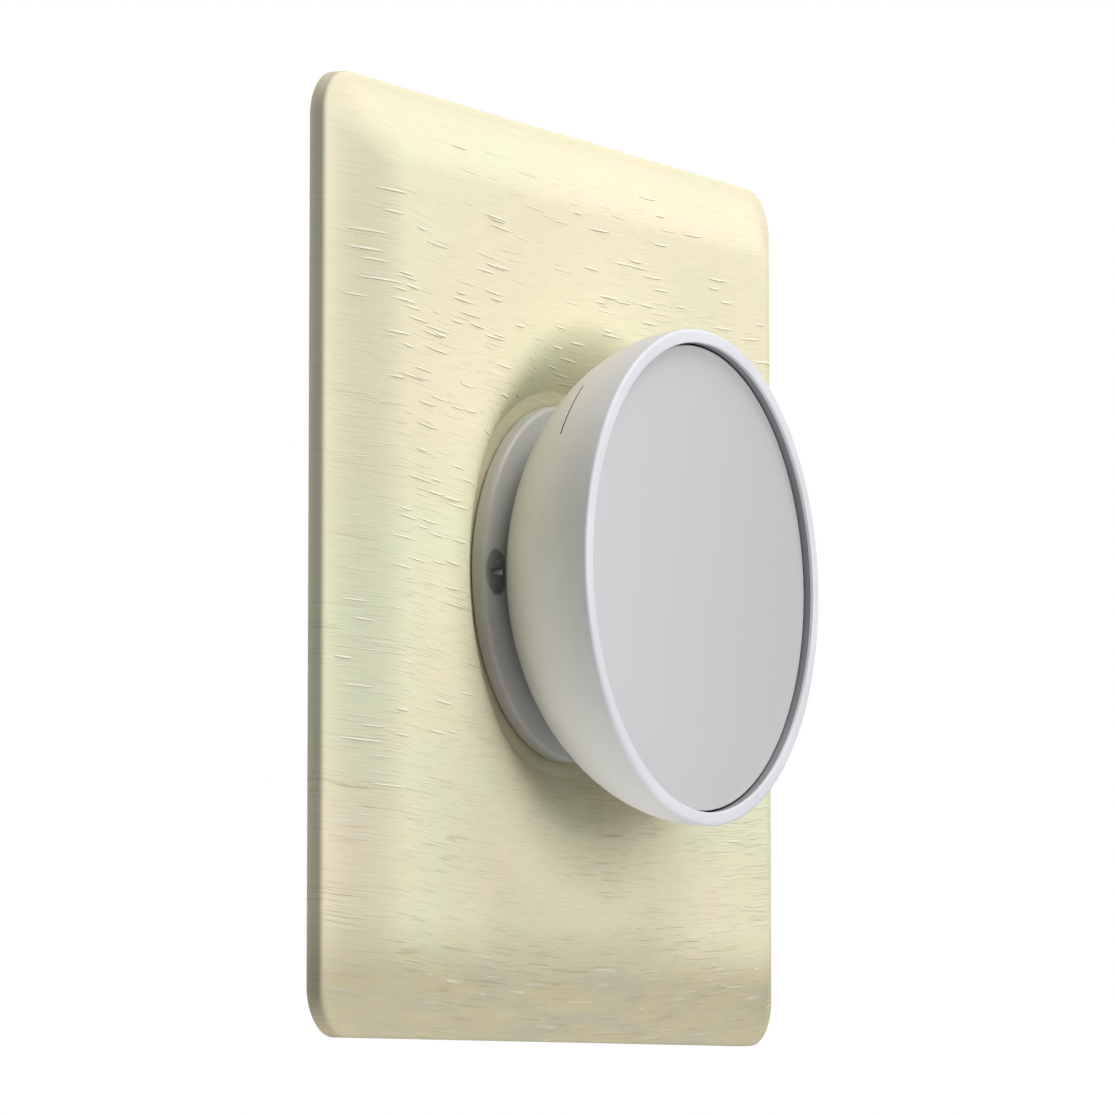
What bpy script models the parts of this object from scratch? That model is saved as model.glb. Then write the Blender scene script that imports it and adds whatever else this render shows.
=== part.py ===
"""Smoke detector on a square mounting plate, upright as on a wall. Units are metres.

The wall is the plane y = 0 and the detector faces -Y, with +Z up and +X to the right.
The detector's axis is the Y axis. A distance in front of the wall is called forward, so
y = -forward, and a depth inside the head is counted back from the plane of its rim.
"""
import math

import bmesh
import bpy
from mathutils import Matrix, Vector

GAP = 0.0003  # clearance between pieces that touch
OVERLAP = 0.0003  # how far a welded feature reaches into its piece
CUT = 0.001  # how far a cutter runs past the surfaces it cuts

# Mounting plate: a hollow square pan with a round dish in its middle
PLATE_SIDE = 0.156
PLATE_CORNER = 0.008
PLATE_HEIGHT = 0.0095
PLATE_EDGE = 0.003
PLATE_WALL = 0.0024
PLATE_BEVEL = 0.015
DISH_RADIUS = 0.0455
DISH_FLOOR_RADIUS = 0.033
CABLE_HOLE_RADIUS = 0.016
SLOT_CIRCLE_RADIUS = 0.0262
SLOT_LENGTH = 0.012
SLOT_WIDTH = 0.0048

# Base that the head twists onto
BASE_RADIUS = 0.0305
BASE_THICKNESS = 0.0025
BASE_HOLE_RADIUS = 0.014
SCREW_RADIUS = 0.0020
SCREW_HEAD_RADIUS = 0.0037
SCREW_HEAD_DEPTH = 0.0020
HOOK_ANGLES = (90, 210, 330)
HOOK_HALF_ANGLE = 6.0
HOOK_NECK = (0.0208, 0.0224)
HOOK_HEAD = (0.0200, 0.0232)
TWIST = 18.0

# Head: a deep rounded bowl whose open side holds the face
HEAD_RADIUS = 0.042
HEAD_RIM_FORWARD = 0.031
BOWL_DEPTH = 0.0308
BOWL_WALL = 0.002
MOUTH_RADIUS = 0.03967
MOUTH_DEPTH = 0.0045
RIM_FILLET = 0.0006
RIM_INNER_FILLET = 0.0002
SLIT_DEPTH = 0.0095
SLIT_WIDTH = 0.0003
SLIT_ANGLES = (130.5, 147.5)

# Face, which is also the test button
FACE_RADIUS = MOUTH_RADIUS - GAP
FACE_THICKNESS = 0.0012
FACE_RECESS = 0.0017
TAPE_RADII = (0.0335, 0.0375)
TAPE_THICKNESS = 0.0004
CARRIER_RADIUS = 0.0385
CARRIER_THICKNESS = 0.001
CATCH_RADII = (0.0329, 0.0376)
CATCH_DEPTHS = (0.0104, 0.0120)
LEG_ANGLES = (50, 170, 290)
LEG_HALF_ANGLE = 4.0

# Inside the head, as depths behind the rim
PILLAR_ANGLES = (90, 210, 330)
PILLAR_CIRCLE = 0.0266
PILLAR_RADIUS = 0.0026
PILLAR_BORE = 0.0021
PILLAR_TOP = 0.0085
PILLAR_FLOOR = 0.0140
SPRING_WIRE = 0.00022
BOARD_DEPTH = 0.0158
BOARD_THICKNESS = 0.0016
BOARD_RADIUS = 0.0305
CHASSIS_DEPTH = BOARD_DEPTH + BOARD_THICKNESS + GAP
CHASSIS_THICKNESS = 0.0012
CHASSIS_RADIUS = 0.0294
COVER_DEPTH = 0.0225
COVER_RADIUS = 0.0238
COVER_THICKNESS = 0.0017
COVER_SCREWS = ((-0.009, 0.0156), (-0.0203, 0.0015), (0.0203, 0.0015))

# Lithium cell and its bay
CELL_RADIUS = 0.0078
CELL_LENGTH = 0.027
CELL_Z = -0.011
CELL_DEPTH = 0.0151
BAY_HALF_WIDTH = 0.0142
CELL_WINDOW_HEIGHT = 0.0192
CRADLE_WALL = 0.0009
CRADLE_HALF_LENGTH = CELL_LENGTH / 2 + 0.0029

# Smoke chamber, sounder and switch on the board
CHAMBER_XZ = (0.0135, 0.013)
CHAMBER_RADIUS = 0.0125
VANE_COUNT = 16
VANE_CIRCLE = 0.01
VANE_LOW = 0.0014
VANE_TOP = 0.0062
CAP_TOP = 0.0071
SCREEN_WINDOWS = 16
SOUNDER_XZ = (-0.0125, 0.0095)
SOUNDER_RADIUS = 0.010
SWITCH_XZ = (0.0, 0.0017)
SWITCH_SIZE = 0.006
PLUNGER_TOP = 0.0048
COMPONENT_SEAT = 0.00015  # solder gap under each component on the board

for stale in list(bpy.data.objects):
    bpy.data.objects.remove(stale)


# ---------------------------------------------------------------- helpers
def material(name, colour, roughness, metallic=0.0):
    """A Principled material for one sub-part."""
    made = bpy.data.materials.new(name)
    made.use_nodes = True
    shader = made.node_tree.nodes["Principled BSDF"]
    shader.inputs["Base Color"].default_value = (*colour, 1.0)
    shader.inputs["Roughness"].default_value = roughness
    shader.inputs["Metallic"].default_value = metallic
    made.diffuse_color = (*colour, 1.0)
    return made


def at(x, forward, z):
    """A place given by its distance in front of the wall."""
    return Vector((x, -forward, z))


def inside(depth):
    """The forward distance of a depth behind the head's rim."""
    return HEAD_RIM_FORWARD - depth


def ring_point(radius, forward, angle):
    """A point round the Y axis, its angle counted in radians from +X towards +Z."""
    return Vector((radius * math.cos(angle), -forward, radius * math.sin(angle)))


def polar(radius, degrees):
    """An x, z pair on a circle round the detector's axis."""
    return radius * math.cos(math.radians(degrees)), radius * math.sin(math.radians(degrees))


def finish(name, shape, paint, parent=None, place=(0, 0, 0), smooth=35):
    """Turns a bmesh into a named object with outward faces, smooth where it is round."""
    bmesh.ops.recalc_face_normals(shape, faces=shape.faces)
    mesh = bpy.data.meshes.new(name)
    shape.to_mesh(mesh)
    shape.free()
    mesh.shade_smooth()
    mesh.set_sharp_from_angle(angle=math.radians(smooth))
    mesh.materials.append(paint)
    made = bpy.data.objects.new(name, mesh)
    bpy.context.scene.collection.objects.link(made)
    made.parent = parent
    made.location = place
    return made


def turned(outline, segments=48, start=0.0, sweep=360.0):
    """A closed (radius, forward) outline turned round the Y axis, all round or over an arc."""
    shape = bmesh.new()
    whole = sweep >= 360.0
    count = segments if whole else segments + 1
    rings = []
    for step in range(count):
        angle = math.radians(start + sweep * step / segments)
        rings.append([shape.verts.new(ring_point(r, f, angle)) for r, f in outline])
    for step in range(segments):
        here, after = rings[step], rings[(step + 1) % count]
        for i in range(len(outline)):
            j = (i + 1) % len(outline)
            shape.faces.new((here[i], here[j], after[j], after[i]))
    if not whole:
        shape.faces.new(rings[0])
        shape.faces.new(rings[-1])
    bmesh.ops.remove_doubles(shape, verts=shape.verts, dist=1e-7)
    return shape


def prism(points, forward_low, forward_high):
    """A closed x, z outline raised between two distances in front of the wall."""
    shape = bmesh.new()
    low = [shape.verts.new(at(x, forward_low, z)) for x, z in points]
    high = [shape.verts.new(at(x, forward_high, z)) for x, z in points]
    shape.faces.new(low)
    shape.faces.new(high)
    for i in range(len(points)):
        j = (i + 1) % len(points)
        shape.faces.new((low[i], low[j], high[j], high[i]))
    return shape


def block(x_low, x_high, z_low, z_high, forward_low, forward_high):
    """A rectangular block."""
    corners = ((x_low, z_low), (x_high, z_low), (x_high, z_high), (x_low, z_high))
    return prism(corners, forward_low, forward_high)


def rounded_rectangle(width, height, corner, corner_steps=4):
    """The x, z outline of a rectangle with round corners, counter-clockwise from +X."""
    points = []
    for quarter, (sx, sz) in enumerate(((1, 1), (-1, 1), (-1, -1), (1, -1))):
        cx, cz = sx * (width / 2 - corner), sz * (height / 2 - corner)
        for step in range(corner_steps + 1):
            turn = math.radians(90 * quarter + 90 * step / corner_steps)
            points.append((cx + corner * math.cos(turn), cz + corner * math.sin(turn)))
    return points


def disc(radius, forward_low, forward_high, segments=24):
    """A solid round slab on the Y axis."""
    points = [polar(radius, 360 * step / segments) for step in range(segments)]
    return prism(points, forward_low, forward_high)


def solid_turned(outline, segments=24):
    """Like turned, for an outline that starts and ends on the axis."""
    shape = bmesh.new()
    bottom = shape.verts.new(at(0, outline[0][1], 0))
    top = shape.verts.new(at(0, outline[-1][1], 0))
    rings = []
    for step in range(segments):
        angle = 2 * math.pi * step / segments
        rings.append([shape.verts.new(ring_point(r, f, angle)) for r, f in outline[1:-1]])
    for step in range(segments):
        here, after = rings[step], rings[(step + 1) % segments]
        shape.faces.new((bottom, here[0], after[0]))
        shape.faces.new((top, after[-1], here[-1]))
        for i in range(len(here) - 1):
            shape.faces.new((here[i], here[i + 1], after[i + 1], after[i]))
    return shape


def combined(target, tool, operation):
    """Adds a live Boolean to target. The tool is a guide and isn't a piece of the object."""
    tool.hide_render = True
    tool.display_type = 'WIRE'
    change = target.modifiers.new(tool.name, 'BOOLEAN')
    change.operation = operation
    change.object = tool
    change.solver = 'EXACT'


def cut(target, name, shape, place=(0, 0, 0)):
    """Takes a shape out of target."""
    tool = finish(name, shape, target.data.materials[0], target.parent, place)
    combined(target, tool, 'DIFFERENCE')


def weld(target, name, shape, place=(0, 0, 0)):
    """Makes a shape one body with target."""
    tool = finish(name, shape, target.data.materials[0], target.parent, place)
    combined(target, tool, 'UNION')


def moving_group(name, parent=None):
    """An empty on a joint's axis, which is the detector's own axis for every joint here."""
    group = bpy.data.objects.new(name, None)
    bpy.context.scene.collection.objects.link(group)
    group.parent = parent
    return group


IVORY = (0.86, 0.82, 0.62)
WHITE = (0.86, 0.86, 0.85)
GREY = (0.60, 0.60, 0.61)
DARK = (0.03, 0.03, 0.035)
STEEL = (0.62, 0.62, 0.64)
NICKEL = (0.72, 0.70, 0.66)
NATURAL = (0.78, 0.77, 0.72)

detector_lift = moving_group("detector_lift")
head_twist = moving_group("head_twist", detector_lift)
face_press = moving_group("face_press", head_twist)
switch_press = moving_group("switch_press", head_twist)


# ---------------------------------------------------------------- mounting plate
def plate_square(inset, forward):
    """One loop of the plate's rounded square outline, with points along its straight sides."""
    half = PLATE_SIDE / 2 - inset
    corner = max(PLATE_CORNER - inset * 0.35, 0.003)
    side_steps = 7
    corner_steps = 4
    loop = []
    for quarter in range(4):
        turn = Matrix.Rotation(-math.radians(90 * quarter), 3, 'Y')
        for step in range(side_steps):
            z = (half - corner) * (2 * step / side_steps - 1)
            loop.append(turn @ at(half, forward, z))
        for step in range(corner_steps):
            angle = math.radians(90 * step / corner_steps)
            x = half - corner + corner * math.cos(angle)
            z = half - corner + corner * math.sin(angle)
            loop.append(turn @ at(x, forward, z))
    return loop


def plate_circle(radius, forward, guide):
    """A round loop with its points at the same angles as the guide loop's."""
    return [ring_point(radius, forward, math.atan2(p.z, p.x)) for p in guide]


def bevel_forward(inset):
    """The S-shaped slope from the plate's edge up to its flat field."""
    share = min(max(inset / PLATE_BEVEL, 0.0), 1.0)
    return PLATE_EDGE + (PLATE_HEIGHT - PLATE_EDGE) * share * share * (3 - 2 * share)


def dish_forward(radius):
    """The dish's wall: soft at the field, meeting the floor at a clear edge."""
    share = (radius - DISH_FLOOR_RADIUS) / (DISH_RADIUS - DISH_FLOOR_RADIUS)
    return PLATE_WALL + (PLATE_HEIGHT - PLATE_WALL) * math.sin(share * math.pi / 2)


def mounting_plate():
    """A pan of even wall: edge, slope, field, dish and floor, then the same surfaces behind."""
    slope = [PLATE_BEVEL * step / 7 for step in range(1, 8)]
    dish = [DISH_RADIUS + (DISH_FLOOR_RADIUS - DISH_RADIUS) * step / 7 for step in range(8)]
    edge = 0.0005
    loops = [plate_square(0, 0), plate_square(0, PLATE_EDGE - edge), plate_square(edge, PLATE_EDGE)]
    loops += [plate_square(inset, bevel_forward(inset)) for inset in slope]
    guide = loops[-1]
    loops += [plate_circle(radius, dish_forward(radius), guide) for radius in dish]
    loops += [plate_circle(CABLE_HOLE_RADIUS, f, guide) for f in (PLATE_WALL, 0)]
    loops += [plate_circle(r, dish_forward(r) - PLATE_WALL, guide) for r in reversed(dish)]
    loops += [plate_square(inset, bevel_forward(inset) - PLATE_WALL) for inset in reversed(slope)]
    inner_edge = PLATE_EDGE - PLATE_WALL + 0.0002
    loops += [plate_square(PLATE_WALL, inner_edge), plate_square(PLATE_WALL, 0)]
    shape = bmesh.new()
    rows = [[shape.verts.new(point) for point in loop] for loop in loops]
    for row, following in zip(rows, rows[1:] + rows[:1]):
        for i in range(len(row)):
            j = (i + 1) % len(row)
            shape.faces.new((row[i], row[j], following[j], following[i]))
    plate = finish("mounting_plate", shape, material("plate_ivory", IVORY, 0.5), smooth=30)
    for number in range(4):
        side = 90 * number
        outline = rounded_rectangle(SLOT_WIDTH, SLOT_LENGTH, SLOT_WIDTH / 2 - 0.0001, 5)
        slot = prism(outline, -2 * CUT, 2 * PLATE_WALL)
        bmesh.ops.translate(slot, verts=slot.verts, vec=(SLOT_CIRCLE_RADIUS, 0, 0))
        bmesh.ops.rotate(slot, verts=slot.verts, matrix=Matrix.Rotation(-math.radians(side), 3, 'Y'))
        cut(plate, f"plate_slot_{number + 1}", slot)


# ---------------------------------------------------------------- base and its screws
BASE_BACK = PLATE_WALL + GAP
BASE_FRONT = BASE_BACK + BASE_THICKNESS
COVER_BACK = inside(COVER_DEPTH + COVER_THICKNESS)
COVER_FRONT = inside(COVER_DEPTH)


def mounting_base():
    """A ring with four screw holes and three bayonet hooks that reach into the head."""
    edge = 0.0006
    ring = ((BASE_HOLE_RADIUS, BASE_BACK), (BASE_RADIUS, BASE_BACK), (BASE_RADIUS, BASE_FRONT - edge),
            (BASE_RADIUS - edge, BASE_FRONT), (BASE_HOLE_RADIUS, BASE_FRONT))
    base = finish("mounting_base", turned(ring, 40), material("base_white", NATURAL, 0.45), detector_lift)
    neck_in, neck_out = HOOK_NECK
    head_in, head_out = HOOK_HEAD
    root = BASE_FRONT - 0.001
    under = COVER_FRONT + GAP
    tip = under + 0.0010
    hook = ((neck_in, root), (neck_out, root), (neck_out, under), (head_out, under),
            (head_out, tip), (head_in, tip), (head_in, under), (neck_in, under))
    for number, middle in enumerate(HOOK_ANGLES, 1):
        arc = turned(hook, 4, middle - HOOK_HALF_ANGLE, 2 * HOOK_HALF_ANGLE)
        weld(base, f"bayonet_hook_{number}", arc)
    for number in range(4):
        x, z = polar(SLOT_CIRCLE_RADIUS, 90 * number)
        bore, mouth = SCREW_RADIUS + GAP, SCREW_HEAD_RADIUS + GAP
        past = BASE_FRONT + 0.0028
        hole = solid_turned(((0, 0), (bore, 0), (bore, BASE_FRONT - SCREW_HEAD_DEPTH),
                             (mouth, BASE_FRONT), (mouth, past), (0, past)), 20)
        cut(base, f"base_screw_hole_{number + 1}", hole, (x, 0, z))


def cross_recess(size, forward_low, forward_high):
    """The two crossed slots of a screw head, as one outline."""
    a, b = size, size * 0.28
    points = ((a, -b), (a, b), (b, b), (b, a), (-b, a), (-b, b),
              (-a, b), (-a, -b), (-b, -b), (-b, -a), (b, -a), (b, -b))
    return prism(points, forward_low, forward_high)


def wall_screws():
    """Two countersunk screws, cut off at the wall's surface."""
    top = BASE_FRONT - 0.00005
    neck = top - SCREW_HEAD_DEPTH
    for side, x in (("left", -SLOT_CIRCLE_RADIUS), ("right", SLOT_CIRCLE_RADIUS)):
        outline = ((0, GAP), (SCREW_RADIUS - 0.0003, GAP), (SCREW_RADIUS - 0.0001, GAP + 0.0003),
                   (SCREW_RADIUS - 0.0001, neck), (SCREW_HEAD_RADIUS, top - 0.00015),
                   (SCREW_HEAD_RADIUS, top), (0, top))
        steel = material(f"wall_screw_steel_{side}", STEEL, 0.3, 1.0)
        screw = finish(f"wall_screw_{side}", solid_turned(outline, 20), steel, detector_lift, (x, 0, 0))
        recess = cross_recess(0.0019, top - 0.0013, top + CUT)
        cut(screw, f"wall_screw_recess_{side}", recess, (x, 0, 0))


# ---------------------------------------------------------------- shell
def shell():
    """The white bowl with a flat, soft-edged rim, a round mouth and a round opening behind."""
    back = COVER_DEPTH + COVER_THICKNESS
    outline = [(MOUTH_RADIUS, inside(RIM_INNER_FILLET)), (MOUTH_RADIUS + RIM_INNER_FILLET, inside(0))]
    start = math.asin(RIM_FILLET / BOWL_DEPTH)
    edge = HEAD_RADIUS * math.cos(start) - RIM_FILLET
    for step in range(3):
        turn = math.pi / 2 * step / 3
        outline.append((edge + RIM_FILLET * math.sin(turn), inside(RIM_FILLET * (1 - math.cos(turn)))))
    steps = 12
    end = math.asin(back / BOWL_DEPTH)
    for step in range(steps + 1):
        turn = start + (end - start) * step / steps
        outline.append((HEAD_RADIUS * math.cos(turn), inside(BOWL_DEPTH * math.sin(turn))))
    cavity_radius = HEAD_RADIUS - BOWL_WALL
    cavity_depth = BOWL_DEPTH - BOWL_WALL
    opening = COVER_RADIUS + GAP
    outline.append((opening, inside(back)))
    stop = cavity_depth * math.sqrt(1 - (opening / cavity_radius) ** 2)
    first = math.asin(stop / cavity_depth)
    last = math.asin(MOUTH_DEPTH / cavity_depth)
    for step in range(7):
        turn = first + (last - first) * step / 6
        outline.append((cavity_radius * math.cos(turn), inside(cavity_depth * math.sin(turn))))
    outline.append((MOUTH_RADIUS, inside(MOUTH_DEPTH)))
    bowl = finish("shell", turned(outline, 48), material("shell_white", WHITE, 0.3), head_twist)
    low, high = SLIT_ANGLES
    edges = (inside(SLIT_DEPTH + SLIT_WIDTH / 2), inside(SLIT_DEPTH - SLIT_WIDTH / 2))
    slit = ((0.036, edges[0]), (0.044, edges[0]), (0.044, edges[1]), (0.036, edges[1]))
    cut(bowl, "shell_light_slit", turned(slit, 6, low, high - low))
    catch_in, catch_out = CATCH_RADII
    catch_front, catch_back = inside(CATCH_DEPTHS[0]), inside(CATCH_DEPTHS[1])
    catch = ((catch_in, catch_back), (catch_out, catch_back),
             (catch_out, catch_front), (catch_in, catch_front))
    for number, middle_angle in enumerate(LEG_ANGLES, 1):
        arc = turned(catch, 3, middle_angle - LEG_HALF_ANGLE, 2 * LEG_HALF_ANGLE)
        weld(bowl, f"face_catch_{number}", arc)


# ---------------------------------------------------------------- rear cover
def arc_slot(radii, start, end):
    """A cutter for a slot that follows a circle through the rear cover."""
    low, high = COVER_BACK - CUT, COVER_FRONT + CUT
    outline = ((radii[0], low), (radii[1], low), (radii[1], high), (radii[0], high))
    return turned(outline, 6, start, end - start)


def rear_cover():
    """A disc with the battery opening and three keyhole slots for the base's hooks."""
    edge = 0.0004
    outline = ((0, COVER_BACK), (COVER_RADIUS - edge, COVER_BACK), (COVER_RADIUS, COVER_BACK + edge),
               (COVER_RADIUS, COVER_FRONT), (0, COVER_FRONT))
    white = material("rear_cover_white", WHITE, 0.45)
    cover = finish("rear_cover", solid_turned(outline, 40), white, head_twist)
    opening = rounded_rectangle(2 * BAY_HALF_WIDTH, 2 * (CELL_RADIUS + GAP), 0.001, 2)
    cut(cover, "battery_opening", prism(opening, COVER_BACK - CUT, COVER_FRONT + CUT), (0, 0, CELL_Z))
    margin = 1.2
    for number, middle in enumerate(HOOK_ANGLES, 1):
        low, high = middle - HOOK_HALF_ANGLE - margin, middle + HOOK_HALF_ANGLE + margin
        neck = (HOOK_NECK[0] - GAP, HOOK_NECK[1] + GAP)
        head = (HOOK_HEAD[0] - GAP, HOOK_HEAD[1] + 0.0002)
        cut(cover, f"lock_slot_{number}", arc_slot(neck, low - TWIST, high))
        cut(cover, f"release_slot_{number}", arc_slot(head, low - TWIST, high - TWIST))
    bore, sink, floor = 0.0014, 0.0021, COVER_BACK + 0.0008
    for number, (x, z) in enumerate(COVER_SCREWS, 1):
        hole = solid_turned(((0, COVER_BACK - CUT), (sink, COVER_BACK - CUT), (sink, floor),
                             (bore, floor), (bore, COVER_FRONT + CUT), (0, COVER_FRONT + CUT)), 16)
        cut(cover, f"cover_screw_hole_{number}", hole, (x, 0, z))


def cover_screws():
    """Three pan-head screws through the rear cover into the chassis posts."""
    head_back = COVER_BACK + 0.0001
    head_front = COVER_BACK + 0.0006
    tip = inside(CHASSIS_DEPTH + CHASSIS_THICKNESS + 0.0004)
    shank, head, edge = 0.0010, 0.0018, 0.0002
    for number, (x, z) in enumerate(COVER_SCREWS, 1):
        outline = ((0, head_back), (head - edge, head_back), (head, head_back + edge), (head, head_front),
                   (shank, head_front), (shank, tip - shank / 2), (shank / 2, tip), (0, tip))
        steel = material(f"cover_screw_steel_{number}", STEEL, 0.3, 1.0)
        screw = finish(f"cover_screw_{number}", solid_turned(outline, 16), steel, head_twist, (x, 0, z))
        recess = cross_recess(0.0009, head_back - CUT, head_back + 0.0004)
        cut(screw, f"cover_screw_recess_{number}", recess, (x, 0, z))


# ---------------------------------------------------------------- chassis and battery
def chassis():
    """The frame behind the board: spring pillars forward, screw posts backward."""
    front, back = inside(CHASSIS_DEPTH), inside(CHASSIS_DEPTH + CHASSIS_THICKNESS)
    grey = material("chassis_grey", (0.45, 0.46, 0.47), 0.5)
    frame = finish("chassis", disc(CHASSIS_RADIUS, back, front, 40), grey, head_twist)
    window = rounded_rectangle(2 * (CRADLE_HALF_LENGTH + GAP), CELL_WINDOW_HEIGHT, 0.001, 2)
    cut(frame, "chassis_battery_window", prism(window, back - CUT, front + CUT), (0, 0, CELL_Z))
    root, top, floor = front - 2 * OVERLAP, inside(PILLAR_TOP), inside(PILLAR_FLOOR)
    for number, angle in enumerate(PILLAR_ANGLES, 1):
        x, z = polar(PILLAR_CIRCLE, angle)
        tube = solid_turned(((0, root), (PILLAR_RADIUS, root), (PILLAR_RADIUS, top),
                             (PILLAR_BORE, top), (PILLAR_BORE, floor), (0, floor)), 16)
        weld(frame, f"spring_pillar_{number}", tube, (x, 0, z))
    low, high = COVER_FRONT + GAP, back + 0.0004
    bore, outside = 0.0013, 0.0023
    for number, (x, z) in enumerate(COVER_SCREWS, 1):
        post = turned(((bore, low), (outside, low), (outside, high), (bore, high)), 16)
        weld(frame, f"screw_post_{number}", post, (x, 0, z))
        cut(frame, f"screw_bore_{number}", disc(bore, low - CUT, front + CUT, 16), (x, 0, z))


def arch(radius, half_length, back, steps=14):
    """A bar along X with an arched front and a flat back, as round as the cell."""
    middle = inside(CELL_DEPTH)
    section = [(radius, back)]
    for step in range(steps + 1):
        turn = math.pi * step / steps
        section.append((radius * math.cos(turn), middle + radius * math.sin(turn)))
    section.append((-radius, back))
    shape = bmesh.new()
    ends = [[shape.verts.new(at(x, f, z)) for z, f in section] for x in (-half_length, half_length)]
    shape.faces.new(ends[0])
    shape.faces.new(ends[1])
    for i in range(len(section)):
        j = (i + 1) % len(section)
        shape.faces.new((ends[0][i], ends[0][j], ends[1][j], ends[1][i]))
    return shape


def battery_cradle():
    """A trough open at the back that the cell drops into, with a wall at each end."""
    inner = CELL_RADIUS + GAP
    back = inside(CELL_DEPTH + 0.0048)
    plastic = material("cradle_black", (0.05, 0.05, 0.055), 0.5)
    trough = arch(inner + CRADLE_WALL, CRADLE_HALF_LENGTH, back)
    cradle = finish("battery_cradle", trough, plastic, head_twist, (0, 0, CELL_Z))
    cut(cradle, "cradle_hollow", arch(inner, CRADLE_HALF_LENGTH - CRADLE_WALL, back - CUT), (0, 0, CELL_Z))


def battery_cell():
    """A lithium cell lying along X, with its raised positive cap on the right."""
    cap_radius, cap_height, edge = 0.0032, 0.0009, 0.0006
    end = CELL_LENGTH / 2
    shoulder = end - cap_height
    outline = ((0, -end), (CELL_RADIUS - edge, -end), (CELL_RADIUS, -end + edge),
               (CELL_RADIUS, shoulder - edge), (CELL_RADIUS - edge, shoulder),
               (cap_radius, shoulder), (cap_radius, end), (0, end))
    shape = solid_turned(outline, 24)
    bmesh.ops.rotate(shape, verts=shape.verts, matrix=Matrix.Rotation(math.radians(90), 3, 'Z'))
    label = material("cell_sleeve", (0.16, 0.22, 0.34), 0.35)
    finish("battery_cell", shape, label, head_twist, at(0, inside(CELL_DEPTH), CELL_Z))


def battery_contacts():
    """A conical spring at the negative end and a sprung leaf at the positive end."""
    metal = material("contact_nickel", NICKEL, 0.25, 1.0)
    start = CRADLE_WALL - CRADLE_HALF_LENGTH + GAP + SPRING_WIRE
    length = -CELL_LENGTH / 2 - GAP - SPRING_WIRE - start
    shape = tube_along(coil_points(2.5, 10, 0.0042, 0.0026, length), SPRING_WIRE, 4)
    bmesh.ops.rotate(shape, verts=shape.verts, matrix=Matrix.Rotation(math.radians(90), 3, 'Z'))
    finish("battery_spring_contact", shape, metal, head_twist, at(start, inside(CELL_DEPTH), CELL_Z))
    leaf_metal = material("contact_leaf_nickel", NICKEL, 0.25, 1.0)
    x, sheet, half_width = CELL_LENGTH / 2 + GAP, 0.0003, 0.003
    leaf = block(x, x + sheet, -half_width, half_width, -0.004, 0.0062)
    finish("battery_leaf_contact", leaf, leaf_metal, head_twist, at(0, inside(CELL_DEPTH), CELL_Z))


def coil_points(turns, per_turn, radius_low, radius_high, length):
    """Points along a coil round the Y axis that rises forward from zero."""
    points = []
    count = int(turns * per_turn)
    for step in range(count + 1):
        share = step / count
        radius = radius_low + (radius_high - radius_low) * share
        points.append(ring_point(radius, length * share, 2 * math.pi * turns * share))
    return points


def tube_along(points, radius, sides):
    """A round wire through the points, with closed ends."""
    shape = bmesh.new()
    rings = []
    for i, point in enumerate(points):
        along = (points[min(i + 1, len(points) - 1)] - points[max(i - 1, 0)]).normalized()
        outward = Vector((point.x, 0, point.z)).normalized()
        across = along.cross(outward).normalized()
        outward = across.cross(along).normalized()
        ring = []
        for side in range(sides):
            turn = 2 * math.pi * side / sides
            offset = math.cos(turn) * outward + math.sin(turn) * across
            ring.append(shape.verts.new(point + radius * offset))
        rings.append(ring)
    for here, after in zip(rings, rings[1:]):
        for side in range(sides):
            other = (side + 1) % sides
            shape.faces.new((here[side], here[other], after[other], after[side]))
    shape.faces.new(rings[0])
    shape.faces.new(rings[-1])
    return shape


# ---------------------------------------------------------------- board and components
def main_board():
    """The round circuit board, cut out for the battery cradle, the pillars and the screws."""
    front, back = inside(BOARD_DEPTH), inside(BOARD_DEPTH + BOARD_THICKNESS)
    green = material("board_green", (0.02, 0.16, 0.07), 0.4)
    board = finish("main_board", disc(BOARD_RADIUS, back, front, 40), green, head_twist)
    window = rounded_rectangle(2 * (CRADLE_HALF_LENGTH + GAP), CELL_WINDOW_HEIGHT, 0.001, 2)
    cut(board, "board_battery_window", prism(window, back - CUT, front + CUT), (0, 0, CELL_Z))
    for number, angle in enumerate(PILLAR_ANGLES, 1):
        x, z = polar(PILLAR_CIRCLE, angle)
        hole = disc(PILLAR_RADIUS + GAP, back - CUT, front + CUT, 16)
        cut(board, f"board_pillar_hole_{number}", hole, (x, 0, z))


def on_board(name, shape, paint, x, z):
    """Places a component, modelled from the board's front face forward, on the board."""
    return finish(name, shape, paint, head_twist, at(x, inside(BOARD_DEPTH) + COMPONENT_SEAT, z))


def board_components():
    """The controller, the capacitor, the sounder's coil and the status light."""
    half, height = 0.0025, 0.0010
    chip = block(-half, half, -half, half, 0, height)
    on_board("microcontroller", chip, material("chip_black", DARK, 0.4), -0.0015, 0.0205)
    radius, height, edge = 0.0030, 0.0054, 0.0004
    can = solid_turned(((0, 0), (radius, 0), (radius, height - edge),
                        (radius - edge, height), (0, height)), 20)
    on_board("capacitor", can, material("capacitor_sleeve", (0.08, 0.09, 0.12), 0.4), -0.0225, -0.0025)
    flange, winding, height = 0.0033, 0.0026, 0.0045
    drum = solid_turned(((0, 0), (flange, 0), (flange, 0.0008), (winding, 0.0009),
                         (winding, height - 0.0009), (flange, height - 0.0008),
                         (flange, height), (0, height)), 20)
    on_board("inductor", drum, material("ferrite_grey", (0.10, 0.10, 0.11), 0.5), 0.0225, -0.0035)
    x, z = polar(0.0278, sum(SLIT_ANGLES) / 2)
    half = 0.0014
    lamp = block(-half, half, -half, half, 0, half)
    on_board("status_led", lamp, material("led_white", (0.85, 0.85, 0.80), 0.3), x, z)


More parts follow.
